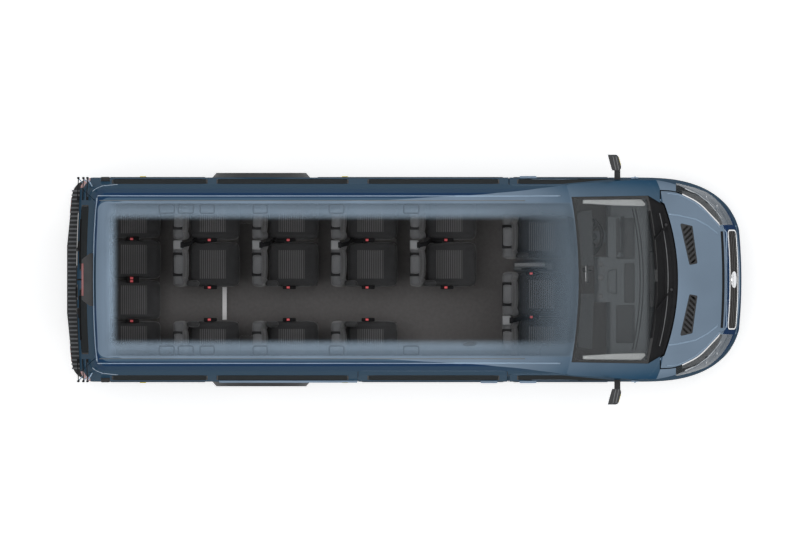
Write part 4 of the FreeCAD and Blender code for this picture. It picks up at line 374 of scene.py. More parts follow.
def paint(name, inner=None, clear_roof=False):
    """Blue metallic paint, with grey lining on the cabin's side. On the roof it fades to clear over the seats."""
    shader = Shader(name)
    flake = shader.noise(900.0, 1.0)
    drift = shader.noise(1.5, 2.0)
    mix = shader.math("ADD", shader.math("MULTIPLY", flake, 0.25), shader.math("MULTIPLY", drift, 0.75))
    dark = tuple(c * 0.90 for c in BLUE)
    light = tuple(c * 1.10 for c in BLUE)
    colour = shader.ramp(mix, [dark, light], [0.35, 0.65])
    # Painted shade: the colour turns to the painted edge-shade blue as a panel turns edge on to the view, and the
    # metallic reflection fades out there too
    colour = shader.blend(shader.spread(shader.facing(), 0.05, 0.56), colour, PAINTED_EDGE_SHADE_BLUE)
    turned = shader.spread(shader.facing(), 0.60, 0.88, PAINT_METALLIC, 0.0)
    shader.set(Roughness=0.34, Coat_Weight=0.04, Coat_Roughness=0.05, Specular_IOR_Level=0.0,
               Specular_Tint=(*BLUE_EDGE, 1))
    shader.bump(shader.noise(60.0, 1.0), 0.015, 0.0004)
    if inner:
        lined = shader.facing_in(inner)
        colour = shader.blend(lined, colour, LINING)
        if inner == "x":
            # Black along the hinge line and on the doors' upward-facing tops
            hinge = shader.spread(shader.math("ABSOLUTE", shader.axes()[1]), HINGE_Y - 0.004, HINGE_Y)
            hinge = shader.math("MAXIMUM", hinge, shader.spread(shader.axes("Normal")[2], 0.8, 0.9))
            colour = shader.blend(hinge, colour, BLACK)
            lined = shader.math("MAXIMUM", lined, hinge)
        turned = shader.math("MULTIPLY", shader.math("SUBTRACT", 1.0, lined), turned)
    shader.link(turned, shader.surface.inputs["Metallic"])
    if clear_roof:
        hazed = shader.spread(shader.math("ABSOLUTE", shader.axes()[1]), CLEAR_SIDE, HAZE_SIDE, 0.9, 0.5)
        inside = shader.spread(shader.axes()[0], CLEAR_REAR - FADE_REAR, CLEAR_REAR)
        colour = shader.blend(shader.math("MULTIPLY", hazed, inside), colour, HAZE_BLUE)
    shader.colour(colour)
    if clear_roof:
        x, y, z = shader.axes()
        side = shader.math("ABSOLUTE", y)
        rear = shader.spread(x, CLEAR_REAR - FADE_REAR, CLEAR_REAR)
        front = shader.spread(x, CLEAR_FRONT, CLEAR_FRONT + FADE_FRONT, 1.0, 0.0)
        middle = shader.spread(side, CLEAR_SIDE, CLEAR_SIDE + FADE_SIDE, 1.0, HAZE)
        edge = shader.spread(side, HAZE_SIDE - 0.012, HAZE_SIDE - 0.004, 1.0, 0.0)
        clear = shader.math("MULTIPLY", shader.math("MULTIPLY", rear, front), shader.math("MULTIPLY", middle, edge))
        under = shader.facing_in("z")
        hidden = shader.math("MULTIPLY", under, shader.math("GREATER_THAN", clear, 0.02))
        clear = shader.math("MAXIMUM", clear, hidden)
        shader.link(shader.math("SUBTRACT", 1.0, clear), shader.surface.inputs["Alpha"])
    return shader.material


def seat_fabric(name, base, light, stripes):
    """Woven seat cloth. Ribs run across the seat on the middle panels."""
    shader = Shader(name)
    weave = shader.noise(700.0, 1.0)
    patch = shader.noise(9.0, 2.0)
    colour = shader.ramp(shader.math("ADD", shader.math("MULTIPLY", weave, 0.7), shader.math("MULTIPLY", patch, 0.3)),
                         [base, light], [0.35, 0.65])
    height = weave
    if stripes:
        x, y, z = shader.axes()
        wave = shader.math("SINE", shader.math("MULTIPLY", x, 2 * math.pi / 0.0212))
        band = shader.spread(wave, 0.25, 0.9)
        colour = shader.blend(band, colour, SEAT_STRIPE)
        height = shader.math("ADD", weave, shader.math("MULTIPLY", wave, 1.5))
    shader.colour(colour)
    shader.set(Roughness=0.92, Specular_IOR_Level=0.25, Sheen_Weight=0.2, Sheen_Roughness=0.5)
    shader.bump(height, 0.35, 0.0009)
    return shader.material


def glass(name, tint, alpha, **values):
    """Thin tinted glass: a see-through skin with reflections."""
    shader = Shader(name)
    shader.colour(shader.ramp(shader.noise(2.0, 1.0), [tuple(c * 0.9 for c in tint), tint]))
    shader.set(Alpha=alpha, **values)
    return shader


def lamp_glass():
    """Smoked lamp covers. Where they are seen edge on they turn to the paint's edge-on blue, a painted reflection of
    the paint.
    """
    shader = glass("lamp_glass", LAMP_TINT, 0.72, Roughness=0.05, Specular_IOR_Level=0.2)
    shader.colour(shader.blend(shader.spread(shader.facing(), 0.25, 0.55), LAMP_TINT, PAINTED_EDGE_SHADE_BLUE))
    return shader.material


def side_glass():
    """Dark privacy glass that mirrors dimly, and not at all where it is seen edge on."""
    shader = glass("side_glass", (0.044, 0.048, 0.050), 0.90, Roughness=0.07, Specular_IOR_Level=0.0)
    shader.link(shader.spread(shader.facing(), 0.5, 0.85, 0.75, 0.0), shader.surface.inputs["Metallic"])
    return shader.material


def screen_glass():
    """The windscreen: clear glass with a black printed border."""
    shader = glass("screen_glass", SCREEN_TINT, 0.20, Roughness=0.04, Specular_IOR_Level=0.35)
    x, y, _ = shader.axes()
    side = shader.math("ABSOLUTE", y)
    square = shader.math("MULTIPLY", y, y)
    top = shader.math("ADD", x, shader.math("MULTIPLY", square, SCREEN_TOP_BOW))
    top = shader.math("SUBTRACT", top, SCREEN_TOP_X)
    base = shader.math("ADD", x, shader.math("MULTIPLY", square, SCREEN_BASE_BOW))
    base = shader.math("SUBTRACT", SCREEN_BASE_X, base)
    rim = shader.math("SUBTRACT", SCREEN_HALF, side)
    edge = shader.math("MINIMUM", rim, shader.math("MINIMUM", top, base))
    border = shader.spread(edge, 0.018, 0.034, 1.0, 0.0)
    shader.colour(shader.blend(border, SCREEN_TINT, SCREEN_BORDER))
    shader.link(shader.math("MAXIMUM", shader.math("MULTIPLY", border, 0.96), 0.20), shader.surface.inputs["Alpha"])
    return shader.material


def make_materials():
    return {
        "blue": paint("blue_paint"),
        "blue_side": paint("blue_paint_lined", inner="y"),
        "blue_rear": paint("blue_paint_rear", inner="x"),
        # Painted highlight: a lighter blue for ribbons along edges and creases where light catches the paint
        "blue_painted_highlight": varied("blue_crease_painted_highlight", (0.19, 0.27, 0.36), (0.25, 0.33, 0.43), 5.0, 0.35, Metallic=0.4,
                              Specular_IOR_Level=0.3),
        "roof": paint("roof_paint", inner="z", clear_roof=True),
        "side_glass": side_glass(),
        "screen": screen_glass(),
        "black": varied("black_plastic", BLACK, GREY_BLACK, 8.0, 0.55, 500.0, 0.25, 0.0006, Specular_IOR_Level=0.3),
        "seal": varied("seal_rubber", (0.012, 0.012, 0.013), (0.020, 0.020, 0.021), 20.0, 0.8, 300.0, 0.2, 0.0004,
                       Specular_IOR_Level=0.1),
        "grey_plastic": varied("grey_plastic", (0.13, 0.133, 0.137), (0.17, 0.173, 0.178),
                           6.0, 0.6, 600.0, 0.3, 0.0006),
        "dash_light": varied("dash_light", (0.105, 0.118, 0.127), (0.130, 0.145, 0.155), 5.0, 0.65, 450.0, 0.3, 0.0006),
        "dash_dark": varied("dash_dark", (0.035, 0.039, 0.042), (0.050, 0.055, 0.059), 5.0, 0.6, 450.0, 0.3, 0.0006),
        # Painted highlight: a near-white colour for the bright reflections at the windscreen's ends
        "white_painted_highlight": varied("pillar_painted_highlight", (0.80, 0.82, 0.81), (0.88, 0.90, 0.89), 6.0, 0.7, 500.0, 0.2, 0.0005),
        "grille": varied("grille_plastic", (0.016, 0.015, 0.014), (0.028, 0.026, 0.025), 10.0, 0.5, 400.0, 0.15, 0.0005,
                         Specular_IOR_Level=0.25),
        "chrome": varied("bright_trim", (0.60, 0.61, 0.62), (0.72, 0.73, 0.74), 12.0, 0.18, Metallic=1.0),
        "bright_dull": varied("bright_rail", (0.42, 0.44, 0.46), (0.50, 0.52, 0.54), 30.0, 0.35, Metallic=0.6),
        "rubber": varied("tyre_rubber", (0.012, 0.012, 0.012), (0.026, 0.026, 0.026), 14.0, 0.85, 220.0, 0.4, 0.001),
        "rim": varied("wheel_paint", (0.33, 0.34, 0.35), (0.42, 0.43, 0.44), 20.0, 0.42, Metallic=0.6),
        "iron": varied("axle_iron", (0.030, 0.029, 0.028), (0.065, 0.060, 0.056), 18.0, 0.75, 120.0, 0.4, 0.001),
        "steel": varied("exhaust_steel", (0.16, 0.145, 0.13), (0.28, 0.26, 0.24), 16.0, 0.45, Metallic=0.8),
        "floor": varied("floor_covering", (0.104, 0.099, 0.098), (0.142, 0.135, 0.134), 30.0, 0.85, 350.0, 0.35, 0.0008,
                        Specular_IOR_Level=0.2),
        "strip": varied("pale_strip", (0.66, 0.65, 0.655), (0.76, 0.75, 0.755), 40.0, 0.6, 300.0, 0.2, 0.0005),
        "red": varied("red_lens", (0.20, 0.012, 0.012), (0.30, 0.02, 0.02), 40.0, 0.3, 60.0, 0.4, 0.002,
                      Specular_IOR_Level=0.1),
        "red_dull": varied("red_lens_strip", (0.16, 0.045, 0.045), (0.22, 0.060, 0.060), 60.0, 0.35, 200.0, 0.4, 0.001),
        "buckle": varied("red_button", (0.75, 0.075, 0.085), (0.90, 0.11, 0.12), 60.0, 0.45, 200.0, 0.1, 0.0003),
        "amber": varied("amber_lens", (0.88, 0.66, 0.02), (0.98, 0.80, 0.03), 40.0, 0.25, 90.0, 0.3, 0.001),
        "lamp": lamp_glass(),
        "reflector": varied("lamp_reflector", (0.55, 0.56, 0.57), (0.66, 0.67, 0.68), 9.0, 0.22, Metallic=1.0),
        "mirror": varied("mirror_glass", (0.55, 0.56, 0.57), (0.60, 0.61, 0.62), 5.0, 0.03, Metallic=1.0),
        "webbing": varied("belt_webbing", (0.006, 0.006, 0.007), (0.014, 0.014, 0.015), 90.0, 0.85, 900.0, 0.5, 0.0005,
                          Specular_IOR_Level=0.1),
        "plate": varied("blank_plate", (0.62, 0.62, 0.61), (0.70, 0.70, 0.69), 8.0, 0.4, 200.0, 0.1, 0.0003),
        "seat": seat_fabric("seat_cloth", SEAT_DARK, SEAT_GREY, False),
        "seat_stripe": seat_fabric("seat_cloth_ribbed", (0.040, 0.040, 0.041), (0.060, 0.060, 0.062), True),
        # Painted light: a lighter copy of the seat cloth for the backrest tops and headrests, for the light falling on
        # them from above
        "seat_painted_lit": seat_fabric("seat_back_cloth", (0.075, 0.076, 0.079), (0.105, 0.106, 0.110), False),
    }


MAT = make_materials()

NODE_MATERIALS = {
    "blue": ("front_panel", "wing_left", "wing_right", "bonnet", "front_bumper"),
    "blue_side": ("side_left", "side_right", "slide_door", "front_door_left", "front_door_right"),
    "blue_rear": ("rear_door_left", "rear_door_right"),
    "roof": ("roof",),
    "side_glass": (
        "side_windows", "slide_door_window", "front_door_left_window", "front_door_right_window",
        "rear_door_left_window", "rear_door_right_window",
    ),
    "screen": ("windscreen",),
    "black": ("bonnet_vents", "rear_bumper", "rear_arches", "wheel_liners", "mirror_left", "mirror_right",
              "fuel_tank"),
    "grille": ("grille",),
    "lamp": ("headlamps",),
    "red": ("tail_lamps",),
    "amber": ("side_markers",),
    "iron": ("rear_axle", "driveline", "engine", "knuckle_left", "knuckle_right", "underframe", "front_subframe",
             "seat_frames"),
    "steel": ("exhaust",),
    "floor": ("floor", "rear_floor", "wheel_boxes", "entrance_step"),
    "strip": ("step_strip",),
    "dash_light": ("dashboard",),
    "rim": ("rim_front_left", "rim_front_right", "rim_rear_left", "rim_rear_right"),
    "seal": ("steering_wheel", "cowl"),
}


def finish_nodes():
    for key, names in NODE_MATERIALS.items():
        for name in names:
            data = nodes[name].data
            data.materials.clear()
            data.materials.append(MAT[key])


def mesh_piece(name, vertices, faces, material, body):
    """A new mesh piece that rides a body."""
    data = bpy.data.meshes.new(name)
    data.from_pydata([tuple(v) for v in vertices], [], faces)
    data.update()
    data.materials.append(MAT[material])
    obj = collection_add(bpy.data.objects.new(name, data))
    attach(obj, body)
    return obj


def smooth(obj):
    for face in obj.data.polygons:
        face.use_smooth = True
    return obj


def bevelled(obj, width, segments=3):
    modifier = obj.modifiers.new("bevel", "BEVEL")
    modifier.width = width
    modifier.segments = segments
    modifier.limit_method = "ANGLE"
    return smooth(obj)


BOX_FACES = [(0, 1, 3, 2), (4, 6, 7, 5), (0, 4, 5, 1), (2, 3, 7, 6), (0, 2, 6, 4), (1, 5, 7, 3)]


def block(name, low, high, material, body, slot, bevel=0.004, segments=3):
    """A rounded block between two corners."""
    (x0, y0, z0), (x1, y1, z1) = low, high
    vertices = [(x, y, z) for x in (x0, x1) for y in sorted((y0, y1)) for z in (z0, z1)]
    return bevelled(mesh_piece(name, vertices, BOX_FACES, material, body), bevel, segments)


def slab(name, outline, z0, z1, material, body, slot, bevel=0.004):
    """A plate with the given outline seen from above."""
    count = len(outline)
    vertices = [(x, y, z) for z in (z0, z1) for x, y in outline]
    faces = loft([list(range(count)), list(range(count, count * 2))])
    return bevelled(mesh_piece(name, vertices, faces, material, body), bevel, 2)


def loft(rings, closed=True, caps=True):
    """Faces between rings of vertex indices."""
    count = len(rings[0])
    faces = []
    for a, b in zip(rings, rings[1:]):
        for i in range(count if closed else count - 1):
            j = (i + 1) % count
            faces.append((a[i], a[j], b[j], b[i]))
    if caps:
        faces.append(tuple(reversed(rings[0])))
        faces.append(tuple(rings[-1]))
    return faces


def swept(name, centres, frames, section, material, body, cyclic=False):
    """A strip with one cross-section. frames give each ring's sideways and outward directions."""
    vertices, rings = [], []
    for centre, (sideways, outward) in zip(centres, frames):
        start = len(vertices)
        vertices += [centre + sideways * u + outward * v for u, v in section]
        rings.append(list(range(start, start + len(section))))
    if cyclic:
        rings.append(rings[0])
    faces = loft(rings, caps=not cyclic)
    return smooth(mesh_piece(name, vertices, faces, material, body))


CASTS = {
    "top": (lambda u, v: Vector((u, v, 5.0)), Vector((0, 0, -1))),
    "below": (lambda u, v: Vector((u, v, 2.2)), Vector((0, 0, 1))),
    "left": (lambda u, v: Vector((u, 3.0, v)), Vector((0, -1, 0))),
    "right": (lambda u, v: Vector((u, -3.0, v)), Vector((0, 1, 0))),
    "front": (lambda u, v: Vector((6.0, u, v)), Vector((-1, 0, 0))),
    "rear": (lambda u, v: Vector((-6.0, u, v)), Vector((1, 0, 0))),
}


class Skin:
    """The skin of some CAD nodes, met by rays in one direction."""

    def __init__(self, way, *names):
        vertices, faces = [], []
        for name in names:
            data = nodes[name].data
            start = len(vertices)
            vertices += [v.co.copy() for v in data.vertices]
            faces += [[start + i for i in face.vertices] for face in data.polygons]
        self.tree = BVHTree.FromPolygons(vertices, faces)
        self.origin, self.aim = CASTS[way]

    def at(self, u, v):
        """The point and outward normal of the skin there, or None."""
        place, normal, index, distance = self.tree.ray_cast(self.origin(u, v), self.aim)
        if place is None:
            return None
        return place, (-normal if normal.dot(self.aim) > 0 else normal)


def resampled(points, step, closed):
    """Points along a line of (u, v), at most a step apart."""
    ends = list(zip(points, points[1:] + points[:1] if closed else points[1:]))
    found = []
    for (u0, v0), (u1, v1) in ends:
        count = max(1, math.ceil(math.hypot(u1 - u0, v1 - v0) / step))
        found += [(u0 + (u1 - u0) * i / count, v0 + (v1 - v0) * i / count) for i in range(count)]
    return found if closed else found + [points[-1]]


def ribbon(name, skin, points, width, rise, material, body, slot, sink=0.003, closed=False, step=0.03, level=0.0):
    """A raised strip that follows the skin through the given points."""
    met = [skin.at(u, v) for u, v in resampled(points, step, closed)]
    met = [hit for hit in met if hit]
    if len(met) < 2:
        return None
    centres = [place + normal * level for place, normal in met]
    frames = []
    last = len(met) - 1
    for i, (place, normal) in enumerate(met):
        before = centres[i - 1] if i or closed else centres[0]
        after = centres[(i + 1) % len(met)] if i < last or closed else centres[last]
        frames.append(((after - before).cross(normal).normalized(), normal))
    half = width / 2
    section = [(-half, -sink), (-half, rise * 0.55), (-half * 0.6, rise), (half * 0.6, rise), (half, rise * 0.55),
               (half, -sink)]
    return swept(name, centres, frames, section, material, body, closed)


def rounded(u0, u1, v0, v1, radius, steps=4):
    """A rectangle's outline with rounded corners."""
    points = []
    for cu, cv, turn in ((u1 - radius, v1 - radius, 0), (u0 + radius, v1 - radius, 1),
                         (u0 + radius, v0 + radius, 2), (u1 - radius, v0 + radius, 3)):
        for i in range(steps + 1):
            angle = (turn + i / steps) * math.pi / 2
            points.append((cu + radius * math.cos(angle), cv + radius * math.sin(angle)))
    return points


def panel(name, skin, outline, rise, material, body, slot, sink=0.003, lip=0.004, step=0.04):
    """A plate that follows the skin inside a convex outline, rise above it, or below where rise is negative."""
    points = resampled(outline, step, True)
    mid_u = sum(u for u, v in points) / len(points)
    mid_v = sum(v for u, v in points) / len(points)
    reach = max(math.hypot(u - mid_u, v - mid_v) for u, v in points)
    count = max(2, math.ceil(reach / (step * 2)))
    inset = 1 - lip / reach
    rings = [(1.0, -sink), (1.0, rise - lip * 0.4), (inset, rise)]
    rings += [(inset * (1 - i / count), rise) for i in range(1, count)]
    vertices, indices = [], []
    for share, height in rings:
        start = len(vertices)
        for u, v in points:
            hit = skin.at(mid_u + (u - mid_u) * share, mid_v + (v - mid_v) * share)
            if not hit:
                return None
            vertices.append(hit[0] + hit[1] * height)
        indices.append(list(range(start, start + len(points))))
    faces = loft(indices, caps=False)
    place, normal = skin.at(mid_u, mid_v)
    vertices += [place + normal * rise, place - normal * sink]
    count = len(points)
    for i in range(count):
        j = (i + 1) % count
        faces.append((indices[-1][i], indices[-1][j], len(vertices) - 2))
        faces.append((indices[0][j], indices[0][i], len(vertices) - 1))
    return smooth(mesh_piece(name, vertices, faces, material, body))


def lathe(name, profile, origin, axis, material, body, slot, steps=40):
    """A turned piece. The profile is a list of (radius, distance along the axis)."""
    axis = Vector(axis).normalized()
    side = axis.orthogonal().normalized()
    other = axis.cross(side)
    vertices, rings = [], []
    for radius, along in profile:
        start = len(vertices)
        for i in range(steps):
            angle = 2 * math.pi * i / steps
            spoke = side * math.cos(angle) + other * math.sin(angle)
            vertices.append(Vector(origin) + axis * along + spoke * radius)
        rings.append(list(range(start, start + steps)))
    return smooth(mesh_piece(name, vertices, loft(rings), material, body))


def tube(name, points, radius, material, body, slot):
    """A round bar along a smooth curve."""
    data = bpy.data.curves.new(name, "CURVE")
    data.dimensions = "3D"
    data.bevel_depth = radius
    data.bevel_resolution = 3
    data.use_fill_caps = True
    spline = data.splines.new("POLY")
    spline.points.add(len(points) - 1)
    for point, place in zip(spline.points, points):
        point.co = (*place, 1)
    data.materials.append(MAT[material])
    obj = collection_add(bpy.data.objects.new(name, data))
    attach(obj, body)
    return obj


def band(name, points, sideways, width, thickness, material, body, slot):
    """Flat webbing through the points, smoothed, with its width along one direction."""
    path = []
    for i in range(len(points) - 1):
        a = Vector(points[max(i - 1, 0)])
        b, c = Vector(points[i]), Vector(points[i + 1])
        d = Vector(points[min(i + 2, len(points) - 1)])
        for k in range(6):
            t = k / 6
            path.append(
                (b * 2 + (c - a) * t + (a * 2 - b * 5 + c * 4 - d) * t * t + (b * 3 - a - c * 3 + d) * t**3) / 2
            )
    path.append(Vector(points[-1]))
    sideways = Vector(sideways).normalized()
    frames = []
    for i in range(len(path)):
        along = path[min(i + 1, len(path) - 1)] - path[max(i - 1, 0)]
        frames.append((sideways, sideways.cross(along).normalized()))
    section = [(-width / 2, 0), (-width / 2, thickness), (width / 2, thickness), (width / 2, 0)]
    return swept(name, path, frames, section, material, body)


def stops(breaks, step):
    """Positions through the breaks, at most a step apart."""
    found = [breaks[0]]
    for low, high in zip(breaks, breaks[1:]):
        count = max(1, math.ceil((high - low) / step - 1e-6))
        found += [low + (high - low) * i / count for i in range(1, count + 1)]
    return found


def near(value, seams):
    return any(abs(value - seam) < 1e-4 for seam in seams)


def pad_mesh(name, size, seams_x, seams_y, crown, pinch, bolster, panel_x, tail_material):
    """A stuffed pad, centred on the origin: X is its length, Z its thickness, swelled between its seams."""
    length, width, thickness = size
    xs = stops([-length / 2] + list(seams_x) + [length / 2], PAD_STEP)
    ys = stops([-width / 2] + list(seams_y) + [width / 2], PAD_STEP)
    zs = stops([-thickness / 2, thickness / 2], PAD_STEP)
    keep, points, faces = {}, [], []

    def at(i, j, k):
        if (i, j, k) not in keep:
            keep[(i, j, k)] = len(points)
            points.append((xs[i], ys[j], zs[k]))
        return keep[(i, j, k)]

    nx, ny, nz = len(xs) - 1, len(ys) - 1, len(zs) - 1
    for i in range(nx):
        for j in range(ny):
            faces.append((at(i, j, nz), at(i + 1, j, nz), at(i + 1, j + 1, nz), at(i, j + 1, nz)))
            faces.append((at(i, j, 0), at(i, j + 1, 0), at(i + 1, j + 1, 0), at(i + 1, j, 0)))
    for i in range(nx):
        for k in range(nz):
            faces.append((at(i, 0, k), at(i + 1, 0, k), at(i + 1, 0, k + 1), at(i, 0, k + 1)))
            faces.append((at(i, ny, k), at(i, ny, k + 1), at(i + 1, ny, k + 1), at(i + 1, ny, k)))
    for j in range(ny):
        for k in range(nz):
            faces.append((at(0, j, k), at(0, j, k + 1), at(0, j + 1, k + 1), at(0, j + 1, k)))
            faces.append((at(nx, j, k), at(nx, j + 1, k), at(nx, j + 1, k + 1), at(nx, j, k + 1)))
    held, placed, top = [], [], []
    for index, (px, py, pz) in enumerate(points):
        x, y, z = px * 2 / length, py * 2 / width, pz * 2 / thickness
        reach = (abs(x) ** 10 + abs(y) ** 10 + abs(z) ** 6) ** 0.1
        x, y, z = x / reach, y / reach, z / reach
        lift = bolster * max(0.0, min(1.0, (abs(y) - 0.60) / 0.22)) ** 2 if z > 0.5 else 0.0
        depth = crown * (1 - x * x) * (1 - y * y) if z > 0.5 else 0.0
        seam = z > 0.5 and (near(px, seams_x) and abs(py) < PANEL_HALF + 1e-4 or near(py, seams_y))
        fall = SEAM_DEPTH if seam else 0.0
        if seam or z < -0.6:
            held.append(index)
        top.append(z > 0.5)
        sides = 1 - pinch * (1 - x * x)
        placed.append((x * length / 2, y * width / 2 * sides, z * thickness / 2 - 0.006 + lift + depth - fall))
    data = bpy.data.meshes.new(name)
    data.from_pydata(placed, [], faces)
    for material in ("seat", "seat_stripe", tail_material):
        data.materials.append(MAT[material])
    low_x, high_x = panel_x
    for face in data.polygons:
        face.use_smooth = True
        corners = [points[i] for i in face.vertices]
        mid_x = sum(c[0] for c in corners) / 4
        mid_y = sum(c[1] for c in corners) / 4
        if all(top[i] for i in face.vertices) and low_x < mid_x < high_x and abs(mid_y) < PANEL_HALF:
            face.material_index = 1
        # The pad's end takes the third material; on the backs' tops this is the lighter seat cloth, painted light
        elif mid_x > length / 2 - 0.045 or tail_material == "seat_painted_lit" and mid_x > high_x and low_x < -1:
            face.material_index = 2
    swell(data, held)
    return data


def swell(data, held):
    """Stuffs the pad: cloth under pressure, sewn down along its seams and base, with a cap on its travel."""
    scene = bpy.context.scene
    obj = collection_add(bpy.data.objects.new("stuffing", data.copy()))
    group = obj.vertex_groups.new(name="sewn")
    group.add(held, 1.0, "REPLACE")
    modifier = obj.modifiers.new("cloth", "CLOTH")
    cloth = modifier.settings
    cloth.vertex_group_mass = "sewn"
    cloth.use_pressure = True
    cloth.uniform_pressure_force = PRESSURE
    cloth.effector_weights.gravity = 0.0
    cloth.quality = 5
    modifier.point_cache.frame_end = CLOTH_FRAMES
    for step in range(1, CLOTH_FRAMES + 1):
        scene.frame_set(step)
    shaped = obj.evaluated_get(bpy.context.evaluated_depsgraph_get()).to_mesh()
    for vertex, moved in zip(data.vertices, shaped.vertices):
        travel = moved.co - vertex.co
        if travel.length > SWELL_CAP:
            travel *= SWELL_CAP / travel.length
        vertex.co += travel
    bpy.data.objects.remove(obj)
    scene.frame_set(1)


def place_pad(name, data, transform):
    obj = collection_add(bpy.data.objects.new(name, data))
    obj.matrix_world = transform
    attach(obj, BODY)
    return obj


def frame_matrix(origin, x_axis, z_axis):
    """A placement whose X and Z point along the given directions."""
    x_axis = Vector(x_axis).normalized()
    z_axis = Vector(z_axis).normalized()
    y_axis = z_axis.cross(x_axis)
    turn = Matrix((x_axis, y_axis, z_axis)).transposed().to_4x4()
    return Matrix.Translation(Vector(origin)) @ turn


def seat_positions():
    """(name, x, y, floor, width, group) for every seat."""
    found = [("driver", FRONT_SEAT_X, DRIVER_Y, FLOOR_Z, SEAT_WIDTH, "front_seats")]
    for i in range(2):
        y = FRONT_DOUBLE_Y + (i - 0.5) * SEAT_PITCH
        found.append((f"front_{i + 1}", FRONT_SEAT_X, y, FLOOR_Z, SEAT_WIDTH, "front_seats"))
    for row in range(LEFT_ROWS):
        x = FIRST_ROW_X + row * ROW_PITCH
        floor_z = REAR_FLOOR_Z if row == 0 else FLOOR_Z
        for i in range(2):
            y = LEFT_DOUBLE_Y + (i - 0.5) * SEAT_PITCH
            found.append((f"left_{row + 1}_{i + 1}", x, y, floor_z, SEAT_WIDTH, "passenger_seats"))
        if row < RIGHT_ROWS:
            found.append((f"right_{row + 1}", x, RIGHT_SINGLE_Y, floor_z, SEAT_WIDTH, "passenger_seats"))
    for i in range(4):
        y = (i - 1.5) * REAR_SEAT_PITCH
        found.append((f"rear_{i + 1}", REAR_ROW_X, y, REAR_FLOOR_Z, REAR_SEAT_WIDTH, "passenger_seats"))
    return found


def make_seats():
    slope = math.atan2(CUSHION_DIP, CUSHION_DEPTH)
    back_height = BACK_TOP - CUSHION_TOP + CUSHION_THICKNESS
    data = {}
    for width in (SEAT_WIDTH, REAR_SEAT_WIDTH):
        half = PANEL_HALF * width / SEAT_WIDTH
        data[width] = (
            pad_mesh("cushion", (CUSHION_DEPTH - 0.016, width - 0.012, CUSHION_THICKNESS), (REAR_SEAM, FRONT_SEAM),
                     (-half, half), 0.010, 0.02, 0.014, (REAR_SEAM, FRONT_SEAM), "seat"),
            pad_mesh("back", (back_height - 0.010, width - 0.012, 0.100), (-0.10, 0.20), (-half, half), 0.008, 0.02,
                     0.012, (-0.10, 0.20), "seat_painted_lit"),
        )
    # Painted light: the headrests, like the backs' tops, take the lighter seat cloth
    headrest = pad_mesh("headrest", (HEADREST_HEIGHT, HEADREST_WIDTH - 0.01, HEADREST_THICKNESS - 0.01), (), (),
                        0.006, 0.05, 0.0, (9.0, 9.0), "seat_painted_lit")
    for face in headrest.polygons:
        face.material_index = 2
    for name, x, y, floor_z, width, group in seat_positions():
        cushion, back = data[width]
        top = floor_z + CUSHION_TOP - CUSHION_DIP / 2
        middle = (x - CUSHION_DEPTH / 2, y, top - CUSHION_THICKNESS / 2 + 0.002)
        along = (math.cos(slope), 0, math.sin(slope))
        up = (-math.sin(slope), 0, math.cos(slope))
        piece = place_pad(f"cushion_{name}", cushion, frame_matrix(middle, along, up))
        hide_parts(group)
        base_x = x - CUSHION_DEPTH - BACK_BASE_THICKNESS / 2
        top_x = x - SEAT_LENGTH + BACK_TOP_THICKNESS / 2
        base = Vector((base_x, y, floor_z + CUSHION_TOP - CUSHION_THICKNESS))
        head = Vector((top_x, y, floor_z + BACK_TOP))
        rise = head - base
        normal = Vector((rise.z, 0, -rise.x))
        place_pad(f"back_{name}", back, frame_matrix((base + head) / 2, rise, normal))
        head_x = x - SEAT_LENGTH + HEADREST_SETBACK + HEADREST_THICKNESS / 2
        head_z = floor_z + BACK_TOP + HEADREST_RISE + HEADREST_HEIGHT / 2
        place_pad(f"headrest_{name}", headrest, frame_matrix((head_x, y, head_z), (0, 0, 1), (1, 0, 0)))
        # Painted shade: a black tray round the headrest's base stands in for the shadow in the gap behind and beside it
        half = HEADREST_WIDTH / 2 + 0.018
        block(f"headrest_shade_tray_{name}", (head_x - 0.058, y - half, floor_z + BACK_TOP - 0.02),
              (head_x + 0.035, y + half, floor_z + BACK_TOP + 0.010), *SEAL_TRIM, 0.008)


def buckle(name, x, y, z, count=1):
    """A belt buckle with its red buttons, on a short stalk between two cushions."""
    half = 0.017
    spread = 0.030 if count == 2 else 0.0
    block(f"buckle_{name}", (x - 0.055, y - half - spread / 2, z - 0.055), (x + 0.075, y + half + spread / 2, z),
          "webbing", BODY, "black_trim", 0.008)
    for i in range(count):
        mid = y + (i - (count - 1) / 2) * spread
        block(f"button_{name}_{i + 1}", (x - 0.016, mid - 0.011, z - 0.006), (x + 0.014, mid + 0.011, z + 0.006),
              "buckle", BODY, "red_lens", 0.003)


def belt(name, x, y_top, y_end, floor_z):
    """Webbing from a guide on the seat's shoulder down to its buckle, with the guide."""
    shoulder = floor_z + BACK_TOP
    back_x = x - SEAT_LENGTH
    block(f"belt_guide_{name}", (back_x + 0.010, y_top - 0.048, shoulder - 0.03),
          (back_x + 0.098, y_top + 0.048, shoulder + 0.026), *GREY_PLASTIC, 0.012)
    block(f"belt_slot_{name}", (back_x + 0.082, y_top - 0.030, shoulder - 0.02),
          (back_x + 0.118, y_top + 0.030, shoulder + 0.034), "webbing", BODY, "black_trim", 0.008)
    points = [
        (back_x + 0.105, y_top, shoulder + 0.020), (back_x + 0.150, y_top + 0.006, shoulder - 0.020),
        (back_x + 0.190, y_top + 0.02, shoulder - 0.20), (back_x + 0.225, y_end + 0.01, floor_z + 0.62),
        (back_x + 0.260, y_end, floor_z + 0.50), (x - 0.34, y_end, floor_z + 0.475),
    ]
    band(f"belt_{name}", points, (0.15, 1, 0), 0.046, 0.003, "webbing", BODY, "seat_fabric")
    block(f"belt_tongue_{name}", (back_x + 0.150, y_end - 0.014, floor_z + 0.487),
          (back_x + 0.215, y_end + 0.016, floor_z + 0.505), "black", BODY, "seat_frame_steel", 0.003)


